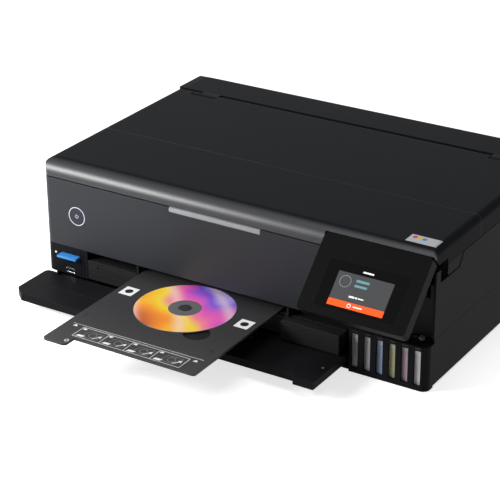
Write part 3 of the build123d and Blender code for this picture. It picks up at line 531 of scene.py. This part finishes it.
FINISHES: tuple[Finish, ...] = (
    Finish("case_black", (0.0082, 0.0084, 0.0094), roughness=0.50, bump=0.22, grain=1700.0,
           specular=0.04, worn_and_highlit_edge=(0.05, 0.05, 0.055)),
    Finish("panel_black", (0.0060, 0.0058, 0.0058), roughness=0.42, bump=0.08, grain=2000.0,
           specular=0.03, worn_and_highlit_edge=(0.05, 0.05, 0.052)),
    LidFinish("lid_black", (0.0085, 0.0094, 0.0118), roughness=0.36, bump=0.16, grain=2100.0,
              specular=0.012, worn_and_highlit_edge=(0.05, 0.05, 0.055)),
    Finish("fascia_black", (0.0085, 0.0100, 0.0145), roughness=0.50, bump=0.05, grain=2400.0,
           specular=0.33, worn_and_highlit_edge=(0.09, 0.09, 0.1)),
    Finish("inner_black", (0.008, 0.008, 0.0085), roughness=0.60, bump=0.25, grain=900.0,
           wear=0.15, specular=0.15, worn_and_highlit_edge=(0.05, 0.05, 0.05)),
    Finish("tray_grey", (0.014, 0.014, 0.015), roughness=0.48, bump=0.2, grain=1500.0,
           specular=0.12, worn_and_highlit_edge=(0.06, 0.06, 0.06)),
    TrayFinish("disc_tray_grey", (0.030, 0.030, 0.032), roughness=0.36, bump=0.10, grain=2300.0,
               specular=0.25, worn_and_highlit_edge=(0.09, 0.09, 0.09)),
    Finish("grip_grey", (0.30, 0.31, 0.33), roughness=0.42, bump=0.2, grain=1500.0,
           worn_and_highlit_edge=(0.4, 0.4, 0.4)),
    Finish("screen_glass", (0.0015, 0.0015, 0.0018), roughness=0.10, spread=0.05, bump=0.0,
           wear=0.1, specular=0.08, worn_and_highlit_edge=(0.05, 0.05, 0.05)),
    Finish("pad_white", (0.78, 0.78, 0.76), roughness=0.75, bump=0.5, grain=700.0, tone=0.06,
           wear=0.1, worn_and_highlit_edge=(0.6, 0.6, 0.58)),
    Finish("card_blue", (0.045, 0.28, 0.72), roughness=0.28, bump=0.05, worn_and_highlit_edge=(0.2, 0.4, 0.8)),
    Finish("port_metal", (0.55, 0.56, 0.58), roughness=0.28, metallic=1.0, bump=0.05,
           worn_and_highlit_edge=(0.8, 0.8, 0.8)),
    Finish("steel", (0.50, 0.50, 0.52), roughness=0.34, metallic=1.0, bump=0.12, grain=500.0,
           worn_and_highlit_edge=(0.7, 0.7, 0.7)),
    Finish("foot_rubber", (0.014, 0.014, 0.014), roughness=0.80, bump=0.6, grain=900.0,
           worn_and_highlit_edge=(0.05, 0.05, 0.05)),
    Finish("board_green", (0.012, 0.09, 0.035), roughness=0.45, bump=0.4, grain=260.0, tone=0.5,
           worn_and_highlit_edge=(0.3, 0.35, 0.2)),
    GlassFinish("clear_glass", (0.93, 0.97, 0.95), roughness=0.02, spread=0.02, bump=0.0, wear=0.0),
    DiscFinish("disc_print", (0.11, 0.115, 0.12), roughness=0.24, spread=0.06, tone=0.05,
               bump=0.02, wear=0.0, coat=0.5),
    InkFinish("ink_1", (0.32, 0.325, 0.335), empty=(0.40, 0.40, 0.405), level=43.5),
    InkFinish("ink_2", (0.33, 0.335, 0.35), empty=(0.42, 0.42, 0.425), level=44.2),
    InkFinish("ink_3", (0.22, 0.29, 0.44), empty=(0.34, 0.38, 0.47), level=43.0),
    InkFinish("ink_4", (0.38, 0.37, 0.20), empty=(0.46, 0.45, 0.34), level=43.8),
    InkFinish("ink_5", (0.42, 0.28, 0.35), empty=(0.50, 0.41, 0.46), level=44.4),
    InkFinish("ink_6", (0.60, 0.60, 0.62), empty=(0.70, 0.70, 0.71), level=43.2),
    # printed white with a faint glow: painted light on marks that are no lamp
    LitFinish("print_white", (0.80, 0.80, 0.80), roughness=0.5, bump=0.02, glow=0.08),
    Finish("print_grey", (0.22, 0.22, 0.22), roughness=0.5, bump=0.02, wear=0.0),
    Finish("print_black", (0.004, 0.004, 0.004), roughness=0.4, bump=0.02, wear=0.0),
    LitFinish("screen_grey", (0.032, 0.033, 0.035), glow=0.55),
    LitFinish("screen_orange", (0.95, 0.070, 0.0), glow=0.80),
    LitFinish("screen_teal", (0.10, 0.24, 0.26), glow=0.55),
    LitFinish("screen_white", (0.75, 0.76, 0.78), glow=0.7),
    LitFinish("screen_line", (0.18, 0.19, 0.20)),
    LitFinish("button_light", (0.62, 0.60, 0.78), roughness=0.3, glow=0.55),
)


# ------------------------------------------------------------------ flat printed shapes
def rectangle(x0: float, x1: float, y0: float, y1: float) -> Loop:
    """The four corners of a rectangle given by its edges."""
    return [(x0, y0), (x1, y0), (x1, y1), (x0, y1)]


def moved(loop: Iterable[Point], x: float, y: float) -> Loop:
    """The same shape, moved."""
    return [(x + a, y + b) for a, b in loop]


def round_loop(x: float, y: float, radius: float, sides: int = 32) -> Loop:
    """A circle as a loop of points."""
    turns = [2 * math.pi * n / sides for n in range(sides)]
    return [(x + radius * math.cos(t), y + radius * math.sin(t)) for t in turns]


def stroke(start: Point, end: Point, width: float) -> Loop:
    """A straight line of a given width, as a thin rectangle."""
    along = Vector((end[0] - start[0], end[1] - start[1])).normalized()
    side = Vector((-along.y, along.x)) * width / 2
    return [(start[0] - side.x, start[1] - side.y), (end[0] - side.x, end[1] - side.y),
            (end[0] + side.x, end[1] + side.y), (start[0] + side.x, start[1] + side.y)]


def arc_strokes(x: float, y: float, radius: float, width: float, first: float = 0.0,
                last: float = 360.0, pieces: int = 40) -> list[Loop]:
    """A ring, or part of one, as a run of four-sided pieces.

    Args:
        x: the centre across.
        y: the centre along.
        radius: the middle of the ring's width.
        width: the ring's width.
        first: the angle it starts at, in degrees.
        last: the angle it ends at, in degrees.
        pieces: how many pieces a run has.

    Returns:
        One loop for each piece.
    """
    loops = []
    for n in range(pieces):
        a, b = (math.radians(first + (last - first) * m / pieces) for m in (n, n + 1))
        near, far = radius - width / 2, radius + width / 2
        loops.append([(x + r * math.cos(t), y + r * math.sin(t))
                      for r, t in ((near, a), (far, a), (far, b), (near, b))])
    return loops


def frame_strokes(outline: Sequence[Point], width: float) -> list[Loop]:
    """The outline of a closed shape, a stroke for each side."""
    return [stroke(outline[n - 1], outline[n], width) for n in range(len(outline))]


@dataclass(frozen=True)
class Surface:
    """A flat place to print on: where its (0, 0) is and its two directions, in mm."""

    origin: Place
    across: Place
    along: Place

    def point(self, place: Point, lift: float) -> Vector:
        """The frame's point, in metres, for a place on the surface at a height above it."""
        across, along = Vector(self.across), Vector(self.along)
        out = across.cross(along)
        return (Vector(self.origin) + across * place[0] + along * place[1] + out * lift) * MM


def plate(name: str, surface: Surface, loops: Sequence[Loop], finish: str, body: str,
          paints: Paints, lift: float = 0.0, height: float = PRINT_HEIGHT) -> bpy.types.Object:
    """Make thin printed or stuck-on shapes, as closed slabs in one mesh.

    Args:
        name: the piece's name.
        surface: where the shapes lie.
        loops: outlines in surface millimetres, each convex.
        finish: which material they have.
        body: the CAD body they ride on.
        paints: every material by its name.
        lift: how far the underside stands off the surface.
        height: the slab's thickness.

    Returns:
        The new object, already riding on its body.
    """
    points: list[Vector] = []
    faces: list[tuple[int, ...]] = []
    for loop in loops:
        area = sum(a[0] * b[1] - b[0] * a[1] for a, b in zip(loop, loop[1:] + loop[:1]))
        ring = loop if area > 0 else loop[::-1]
        start, count = len(points), len(ring)
        points += [surface.point(p, level) for level in (lift, lift + height) for p in ring]
        faces.append(tuple(start + count + n for n in range(count)))
        faces.append(tuple(start + n for n in reversed(range(count))))
        faces += [(start + n, start + (n + 1) % count, start + count + (n + 1) % count,
                   start + count + n) for n in range(count)]
    mesh = bpy.data.meshes.new(name)
    mesh.from_pydata([tuple(p) for p in points], [], faces)
    mesh.materials.append(paints[finish])
    piece = bpy.data.objects.new(name, mesh)
    bpy.context.scene.collection.objects.link(piece)
    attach(piece, body)
    log.info("%s: %d shapes on %s", name, len(loops), body)
    return piece


# ------------------------------------------------------------------ repeated pieces
class Shape(Enum):
    """What a row repeats."""

    BAR = "bar"
    ROUND = "round"


@dataclass(frozen=True)
class Row:
    """A row of small solids, made by Geometry Nodes: its sizes are the tree's named inputs."""

    name: str
    shape: Shape
    count: int
    start: Place
    step: Place
    size: Place
    turn: Place = (0.0, 0.0, 0.0)
    round_sides: int = 20

    def solid(self, tree: Tree) -> Node:
        """The node that makes one solid, 1 m in each direction before it is scaled."""
        if self.shape is Shape.BAR:
            solid = tree.nodes.new("GeometryNodeMeshCube")
            solid.inputs["Size"].default_value = (1.0, 1.0, 1.0)
            return solid
        solid = tree.nodes.new("GeometryNodeMeshCylinder")
        solid.inputs["Vertices"].default_value = self.round_sides
        solid.inputs["Radius"].default_value = 0.5
        solid.inputs["Depth"].default_value = 1.0
        return solid

    def tree(self, paint: bpy.types.Material) -> Tree:
        """Build the node tree: a line of points, a solid on each, made real and given its material."""
        tree, given, result = new_group(
            self.name + "_row", "GeometryNodeTree",
            {"Geometry": "NodeSocketGeometry", "Count": "NodeSocketInt", "Start": "NodeSocketVector",
             "Step": "NodeSocketVector", "Size": "NodeSocketVector", "Turn": "NodeSocketVector"},
            {"Geometry": "NodeSocketGeometry"},
        )
        line = tree.nodes.new("GeometryNodeMeshLine")
        line.mode = "OFFSET"
        link(tree, given.outputs["Count"], line.inputs["Count"])
        link(tree, given.outputs["Start"], line.inputs["Start Location"])
        link(tree, given.outputs["Step"], line.inputs["Offset"])
        spread = tree.nodes.new("GeometryNodeInstanceOnPoints")
        link(tree, self.solid(tree).outputs["Mesh"], spread.inputs["Instance"])
        link(tree, line.outputs["Mesh"], spread.inputs["Points"])
        link(tree, given.outputs["Size"], spread.inputs["Scale"])
        link(tree, given.outputs["Turn"], spread.inputs["Rotation"])
        real = tree.nodes.new("GeometryNodeRealizeInstances")
        dress = tree.nodes.new("GeometryNodeSetMaterial")
        dress.inputs["Material"].default_value = paint
        link(tree, spread.outputs["Instances"], real.inputs["Geometry"])
        link(tree, real.outputs["Geometry"], dress.inputs["Geometry"])
        link(tree, dress.outputs["Geometry"], result.inputs["Geometry"])
        return tree

    def make(self, paint: bpy.types.Material, body: str, slot: str) -> bpy.types.Object:
        """Run the tree and keep its result as a plain mesh.

        Args:
            paint: the material of every solid in the row.
            body: the CAD body that the row rides on.
            slot: not used.

        Returns:
            The row's object.
        """
        holder = self.name + "_carrier"
        carrier = bpy.data.objects.new(holder, bpy.data.meshes.new(holder))
        bpy.context.scene.collection.objects.link(carrier)
        modifier = carrier.modifiers.new("row", "NODES")
        tree = self.tree(paint)
        modifier.node_group = tree
        values = {"Count": self.count, "Start": [v * MM for v in self.start],
                  "Step": [v * MM for v in self.step], "Size": [v * MM for v in self.size],
                  "Turn": [math.radians(v) for v in self.turn]}
        for item in tree.interface.items_tree:
            if item.in_out == "INPUT" and item.name in values:
                modifier[item.identifier] = values[item.name]
        bpy.context.view_layer.update()
        ready = carrier.evaluated_get(bpy.context.evaluated_depsgraph_get())
        mesh = bpy.data.meshes.new_from_object(ready)
        mesh.name = self.name
        carrier.modifiers.remove(modifier)
        bpy.data.objects.remove(carrier)
        piece = bpy.data.objects.new(self.name, mesh)
        bpy.context.scene.collection.objects.link(piece)
        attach(piece, body)
        log.info("%s: %d %s solids on %s", self.name, self.count, self.shape.value, body)
        return piece


# ------------------------------------------------------------------ sub-assemblies
@dataclass
class Casing:
    """The CAD nodes' own finishes, and the small marks and fastenings of the body."""

    paints: Paints
    panel: str = "panel_housing"
    panel_finish: str = "panel_black"
    front: float = -94.0
    light: Point = (-248.2, 48.7)
    light_radius: float = 1.5
    # thin black bars standing for the shade inside the bezel's slots: painted shade
    slot_shade_bars: Row = Row("bezel_slot_shade", Shape.BAR, count=6, start=(171.0, -94.02, 53.0),
                      step=(15.7, 0.0, 0.0), size=(7.4, 0.10, 1.0))
    screws: Row = Row("rear_screws", Shape.ROUND, count=4, start=(-210.0, 284.74, 68.0),
                      step=(140.0, 0.0, 0.0), size=(6.0, 6.0, 0.5), turn=(90.0, 0.0, 0.0))

    def dress(self, frame: dict) -> None:
        """Give every CAD node the finish of its material slot, and the panel its own."""
        for name, node in frame["nodes"].items():
            for place in node.material_slots:
                slot_name = place.material.name.split(".")[0]
                place.material = self.paints[self.panel_finish if name == self.panel else slot_name]
            log.info("%s dressed", name)

    def marks(self) -> None:
        """The white status light, black bars painted as the shade in the slots under the tanks, and the
        screws at the back.
        """
        face = Surface((0.0, self.front, 0.0), (1.0, 0.0, 0.0), (0.0, 0.0, 1.0))
        plate("status_light", face, [round_loop(*self.light, self.light_radius)],
              "print_white", "body", self.paints)
        self.slot_shade_bars.make(self.paints["print_black"], "body", "inner_black")
        self.screws.make(self.paints["steel"], "body", "steel")


@dataclass
class DiscTrayPrint:
    """Everything printed on the disc tray.

    In the strip, the tray and disc are placed from a picture's middle, the tab and sheet from its
    left corner and the arrow from its right corner, all up from its front edge.
    """

    paints: Paints
    top: float = 51.6
    marker_size: Point = (18.0, 20.0)
    markers: tuple[Point, ...] = ((-104.4, -140.9), (55.0, -141.3))
    dot_radius: float = 5.0
    strip: Edges = (-95.0, 48.3, -263.5, -241.0)
    dividers: tuple[float, ...] = (-59.4, -26.0, 9.4)
    line_width: float = 0.7
    rule: tuple[Point, Point] = ((-111.5, -238.0), (62.9, -236.0))
    rule_width: float = 0.6
    arrows: tuple[float, ...] = (-106.0, 56.0)
    arrow: tuple[Point, ...] = ((-3.2, -243.6), (3.2, -243.6), (0.0, -239.0))
    ring: Point = (-93.0, -276.0)
    ring_radius: float = 2.2
    ring_width: float = 1.1
    ring_pieces: int = 20
    corner_lines: tuple[tuple[float, float, float], ...] = ((-113.0, -99.0, -112.2), (45.6, 61.0, 60.2))
    corner_rear: float = -213.0
    corner_front: float = -223.0
    corner_width: float = 1.6
    tray: tuple[Point, ...] = ((-9.0, 3.5), (11.0, 3.5), (15.0, 17.5), (-5.0, 17.5))
    tray_width: float = 0.6
    disc: Point = (3.0, 10.75)
    disc_radius: float = 4.6
    disc_width: float = 0.8
    disc_pieces: int = 24
    hatch: range = range(-94, 48, 3)
    hatch_line: tuple[Point, Point] = ((0.0, -240.4), (1.6, -237.6))
    hatch_width: float = 0.45
    tab: tuple[Point, ...] = ((2.0, 17.5), (6.5, 17.5), (6.5, 20.9), (2.0, 20.9))
    sheet: tuple[Point, ...] = ((3.0, 2.0), (12.0, 2.0), (14.0, 6.0), (5.0, 6.0))
    shaft: tuple[Point, Point] = ((-12.0, 4.0), (-6.0, 11.0))
    shaft_width: float = 1.2
    head: tuple[Point, ...] = ((-8.5, 11.5), (-3.6, 9.0), (-4.4, 14.5))

    def surface(self) -> Surface:
        """The tray's upper face."""
        return Surface((0.0, 0.0, self.top), (1.0, 0.0, 0.0), (0.0, 1.0, 0.0))

    def print(self) -> None:
        """Lay down the markers, lines, picture strip and corner marks."""
        face = self.surface()
        half_x, half_y = self.marker_size[0] / 2, self.marker_size[1] / 2
        marker = rectangle(-half_x, half_x, -half_y, half_y)
        plate("tray_markers", face, [moved(marker, x, y) for x, y in self.markers],
              "print_white", "disc_tray", self.paints)
        plate("tray_marker_dots", face, [round_loop(x, y, self.dot_radius) for x, y in self.markers],
              "print_black", "disc_tray", self.paints, lift=PRINT_HEIGHT,
              height=OVERPRINT_HEIGHT)
        plate("tray_lines", face, self.lines(), "print_white", "disc_tray", self.paints)
        plate("tray_pictures", face, self.pictures(), "print_grey", "disc_tray", self.paints)
        plate("tray_picture_lights", face, self.highlights(), "print_white", "disc_tray",
              self.paints, lift=PRINT_HEIGHT, height=OVERPRINT_HEIGHT)
        plate("tray_corner_marks", face, self.corner_marks(), "print_black", "disc_tray",
              self.paints)

    def lines(self) -> list[Loop]:
        """The rule, the two arrows, the strip's frames and the small ring."""
        x0, x1, y0, y1 = self.strip
        loops = [stroke(*self.rule, self.rule_width)]
        loops += [moved(self.arrow, x, 0.0) for x in self.arrows]
        loops += frame_strokes(rectangle(x0, x1, y0, y1), self.line_width)
        loops += [stroke((x, y0), (x, y1), self.line_width) for x in self.dividers]
        return loops + arc_strokes(*self.ring, self.ring_radius, self.ring_width, pieces=self.ring_pieces)

    def corner_marks(self) -> list[Loop]:
        """A cross line and a side line at each rear corner of the tray's front part."""
        rear, front = self.corner_rear, self.corner_front
        loops: list[Loop] = []
        for left, right, side in self.corner_lines:
            loops.append(stroke((left, rear), (right, rear), self.corner_width))
            loops.append(stroke((side, rear), (side, front), self.corner_width))
        return loops

    def panels(self) -> list[Point]:
        """Left and right edge of each of the four pictures."""
        edges = (self.strip[0], *self.dividers, self.strip[1])
        return list(zip(edges[:-1], edges[1:]))

    def pictures(self) -> list[Loop]:
        """A plain tray and disc in each picture, and the row of hatch lines behind them."""
        front = self.strip[2]
        loops: list[Loop] = []
        for left, right in self.panels():
            middle = (left + right) / 2
            loops += frame_strokes(moved(self.tray, middle, front), self.tray_width)
            loops += arc_strokes(middle + self.disc[0], front + self.disc[1], self.disc_radius,
                                 self.disc_width, pieces=self.disc_pieces)
        loops += [stroke(*moved(self.hatch_line, x, 0.0), self.hatch_width) for x in self.hatch]
        return loops

    def highlights(self) -> list[Loop]:
        """The pictures' bright parts: a number tab, a sheet and an arrow in each."""
        front = self.strip[2]
        loops: list[Loop] = []
        for left, right in self.panels():
            loops += [moved(self.tab, left, front), moved(self.sheet, left, front)]
            loops.append(stroke(*moved(self.shaft, right, front), self.shaft_width))
            loops.append(moved(self.head, right, front))
        return loops


@dataclass
class ScreenPicture:
    """The touch screen's lit picture, in panel millimetres: X as it is, and down the face."""

    paints: Paints
    axis_y: float = -74.5
    axis_z: float = 149.5
    face: float = 19.4  # the glass above the hinge axis
    tilt: float = 45.0
    body: str = "control_panel"
    ground: Edges = (162.0, 230.0, -71.5, -39.0)
    bar: Edges = (162.0, 230.0, -79.0, -71.5)
    dial: Point = (173.5, -49.4)
    dial_radius: float = 6.6
    dial_width: float = 0.7
    bars: tuple[Edges, ...] = ((186.0, 202.0, -47.4, -44.4), (186.0, 201.0, -53.2, -50.4))
    marks: tuple[Edges, ...] = (
        (184.0, 191.0, -66.0, -64.0), (192.0, 194.0, -66.0, -64.0), (195.0, 202.0, -65.6, -64.4),
        (190.0, 203.0, -35.6, -33.8), (193.0, 204.0, -75.9, -74.5),
    )
    knob: Point = (188.0, -75.2)
    knob_radius: float = 2.0
    knob_width: float = 0.8
    knob_pieces: int = 20
    height: float = 0.05
    lift: float = 0.06

    def surface(self) -> Surface:
        """The glass: along points up the face, so places down it are negative."""
        lean = math.radians(self.tilt)
        out = Vector((0.0, -math.cos(lean), math.sin(lean)))
        up = (0.0, math.sin(lean), math.cos(lean))
        origin = Vector((0.0, self.axis_y, self.axis_z)) + out * self.face
        return Surface(tuple(origin), (1.0, 0.0, 0.0), up)

    def light(self) -> None:
        """Draw the picture: ground, bar, dial and plain bars where words would stand."""
        glass = self.surface()
        bars, marks = ([rectangle(*edges) for edges in group] for group in (self.bars, self.marks))
        marks += arc_strokes(*self.knob, self.knob_radius, self.knob_width, pieces=self.knob_pieces)
        dial = arc_strokes(*self.dial, self.dial_radius, self.dial_width)
        for name, loops, finish, lift in (
            ("screen_ground", [rectangle(*self.ground)], "screen_grey", 0.0),
            ("screen_bar", [rectangle(*self.bar)], "screen_orange", 0.0),
            ("screen_dial", dial, "screen_line", self.lift),
            ("screen_teal_bars", bars, "screen_teal", self.lift),
            ("screen_white_marks", marks, "screen_white", self.lift),
        ):
            plate(name, glass, loops, finish, self.body, self.paints, lift=lift,
                  height=self.height)


@dataclass
class PowerButton:
    """The power button's lit ring and its small sign."""

    paints: Paints
    centre: Point = (-213.2, 104.0)
    front: float = -94.0
    ring_radius: float = 11.5
    ring_width: float = 0.9
    ring_pieces: int = 60
    sign_radius: float = 2.2
    sign_width: float = 0.5
    sign_arc: Point = (125.0, 415.0)
    sign_height: float = 3.0
    sign_pieces: int = 24
    body: str = "power_button"

    def light(self) -> None:
        """Light the ring and the usual on-off sign."""
        x, z = self.centre
        face = Surface((0.0, self.front, 0.0), (1.0, 0.0, 0.0), (0.0, 0.0, 1.0))
        ring = arc_strokes(x, z, self.ring_radius, self.ring_width, pieces=self.ring_pieces)
        plate("power_ring", face, ring, "button_light", self.body, self.paints)
        sign = arc_strokes(x, z, self.sign_radius, self.sign_width, *self.sign_arc, self.sign_pieces)
        sign.append(stroke((x, z), (x, z + self.sign_height), self.sign_width))
        plate("power_sign", face, sign, "button_light", self.body, self.paints)


@dataclass
class ScannerBed:
    """Rulers round the scanner's glass, seen when the lid is up."""

    paints: Paints
    top: float = 147.6
    left: float = -169.0
    near: float = -33.0
    gap: float = 4.0
    pitch: float = 9.9
    count_across: int = 31
    count_along: int = 22
    tick: Place = (0.5, 3.0, 0.08)

    def rule(self) -> None:
        """Tick marks along the glass's front and left edges."""
        width, length, height = self.tick
        across = Row("bed_ticks_across", Shape.BAR, self.count_across,
                     (self.left, self.near - self.gap, self.top),
                     (self.pitch, 0.0, 0.0), (width, length, height))
        along = Row("bed_ticks_along", Shape.BAR, self.count_along,
                    (self.left - self.gap, self.near, self.top),
                    (0.0, self.pitch, 0.0), (length, width, height))
        for row in (across, along):
            row.make(self.paints["print_white"], "scanner_unit", "pad_white")


@dataclass
class CoverDots:
    """Two pale dots moulded in the front cover's upper face."""

    paints: Paints
    top: float = 22.5
    radius: float = 1.6
    sides: int = 20
    places: tuple[Point, ...] = ((49.0, -117.5), (155.0, -137.5))

    def make(self) -> None:
        """Make the dots."""
        face = Surface((0.0, 0.0, self.top), (1.0, 0.0, 0.0), (0.0, 1.0, 0.0))
        plate("cover_dots", face, [round_loop(x, y, self.radius, self.sides) for x, y in self.places],
              "print_grey", "front_cover", self.paints)


# ------------------------------------------------------------------ studio
@dataclass(frozen=True)
class Lamp:
    """A soft area lamp: where it hangs, what it looks at and its sides in metres, its power in watts."""

    name: str
    place: Place
    target: Place
    size: Point
    power: float

    def hang(self) -> None:
        """Put the lamp in the scene."""
        data = bpy.data.lights.new(self.name, "AREA")
        data.shape = "RECTANGLE"
        data.size, data.size_y = self.size
        data.energy = self.power
        lamp = bpy.data.objects.new(self.name, data)
        lamp.location = self.place
        aim = Vector(self.target) - Vector(self.place)
        lamp.rotation_euler = aim.to_track_quat("-Z", "Y").to_euler()
        bpy.context.scene.collection.objects.link(lamp)


@dataclass
class Studio:
    """Floor, soft lights, white surroundings and the camera, in metres and degrees."""

    floor_half: float = 8.0
    floor_grey: float = 0.8
    floor_roughness: float = 0.9
    floor_specular: float = 0.1
    floor_lift: float = 0.72
    world_level: float = 0.13
    camera_place: Place = (1.0193, -1.6586, 0.9895)
    yaw: float = 32.22
    pitch: float = 25.19
    roll: float = 0.39
    lens: float = 129.6
    sensor: float = 36.0
    sight: float = 50.0
    lamps: tuple[Lamp, ...] = (  # the key draws the lid's bright front edge, the others fill
        Lamp("key", (-0.74, -0.76, 0.58), (-0.20, -0.10, 0.14), (0.46, 0.28), 13.0),
        Lamp("top", (0.0, -0.1, 2.4), (0.0, 0.0, 0.1), (1.2, 1.0), 17.0),
        Lamp("left_fill", (-1.6, -1.4, 0.7), (0.0, -0.1, 0.08), (0.8, 0.8), 5.0),
    )

    @staticmethod
    def seen(tree: Tree) -> Socket:
        """1 for rays that show the background: camera, glossy and transmitted ones."""
        path = tree.nodes.new("ShaderNodeLightPath")
        camera, glossy, clear = (path.outputs[f"Is {kind} Ray"] for kind in
                                 ("Camera", "Glossy", "Transmission"))
        both = math_node(tree, "ADD", camera, glossy, clamp=True)
        return math_node(tree, "ADD", both, clear, clamp=True)

    def world(self) -> None:
        """White to look at, and a plain grey level of light for everything else."""
        world = bpy.data.worlds.new("studio")
        bpy.context.scene.world = world
        world.use_nodes = True
        tree = world.node_tree
        ground = tree.nodes["Background"]
        extra = math_node(tree, "MULTIPLY", self.seen(tree), 1.0 - self.world_level)
        ground.inputs["Color"].default_value = (1.0, 1.0, 1.0, 1.0)
        link(tree, math_node(tree, "ADD", extra, self.world_level), ground.inputs["Strength"])

    def floor(self) -> None:
        """A pale floor that looks white and still takes the printer's shadow."""
        half = self.floor_half
        mesh = bpy.data.meshes.new("floor")
        rim = [(x, y, 0.0) for x, y in rectangle(-half, half, -half, half)]
        mesh.from_pydata(rim, [], [(0, 1, 2, 3)])
        paint = bpy.data.materials.new("floor_white")
        paint.use_nodes = True
        tree = paint.node_tree
        shader = tree.nodes["Principled BSDF"]
        shader.inputs["Base Color"].default_value = (*[self.floor_grey] * 3, 1.0)
        shader.inputs["Roughness"].default_value = self.floor_roughness
        shader.inputs["Specular IOR Level"].default_value = self.floor_specular
        shader.inputs["Emission Color"].default_value = (1.0, 1.0, 1.0, 1.0)
        lift = math_node(tree, "MULTIPLY", self.seen(tree), self.floor_lift)
        link(tree, lift, shader.inputs["Emission Strength"])
        mesh.materials.append(paint)
        plane = bpy.data.objects.new("floor", mesh)
        bpy.context.scene.collection.objects.link(plane)

    def camera(self) -> None:
        """The photograph's viewpoint and lens."""
        yaw, pitch, roll = (math.radians(v) for v in (self.yaw, self.pitch, self.roll))
        level = math.cos(pitch)
        ahead = Vector((-math.sin(yaw) * level, math.cos(yaw) * level, -math.sin(pitch)))
        right = Vector((math.cos(yaw), math.sin(yaw), 0.0))
        down = ahead.cross(right)
        side = right * math.cos(roll) + down * math.sin(roll)
        below = down * math.cos(roll) - right * math.sin(roll)
        turn = Matrix((side, -below, -ahead)).transposed().to_4x4()
        data = bpy.data.cameras.new("camera")
        data.sensor_width = self.sensor
        data.lens = self.lens
        data.clip_end = self.sight
        camera = bpy.data.objects.new("camera", data)
        camera.matrix_world = Matrix.Translation(self.camera_place) @ turn
        bpy.context.scene.collection.objects.link(camera)
        bpy.context.scene.camera = camera

    def build(self) -> None:
        """Set the whole stage up."""
        bpy.context.scene.view_settings.view_transform = "Standard"
        self.camera()
        self.world()
        self.floor()
        for lamp in self.lamps:
            lamp.hang()


def main() -> None:
    """Dress the CAD frame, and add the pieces."""
    logging.basicConfig(level=logging.INFO, format="%(name)s %(message)s")
    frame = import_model()
    Studio().build()
    effects = Effects()
    paints = {finish.name: finish.build(effects) for finish in FINISHES}
    casing = Casing(paints)
    casing.dress(frame)
    steps: tuple[Callable[[], None], ...] = (
        casing.marks, DiscTrayPrint(paints).print, ScreenPicture(paints).light,
        PowerButton(paints).light, ScannerBed(paints).rule, CoverDots(paints).make,
    )
    for step in steps:
        step()


if __name__ == "__main__":
    main()
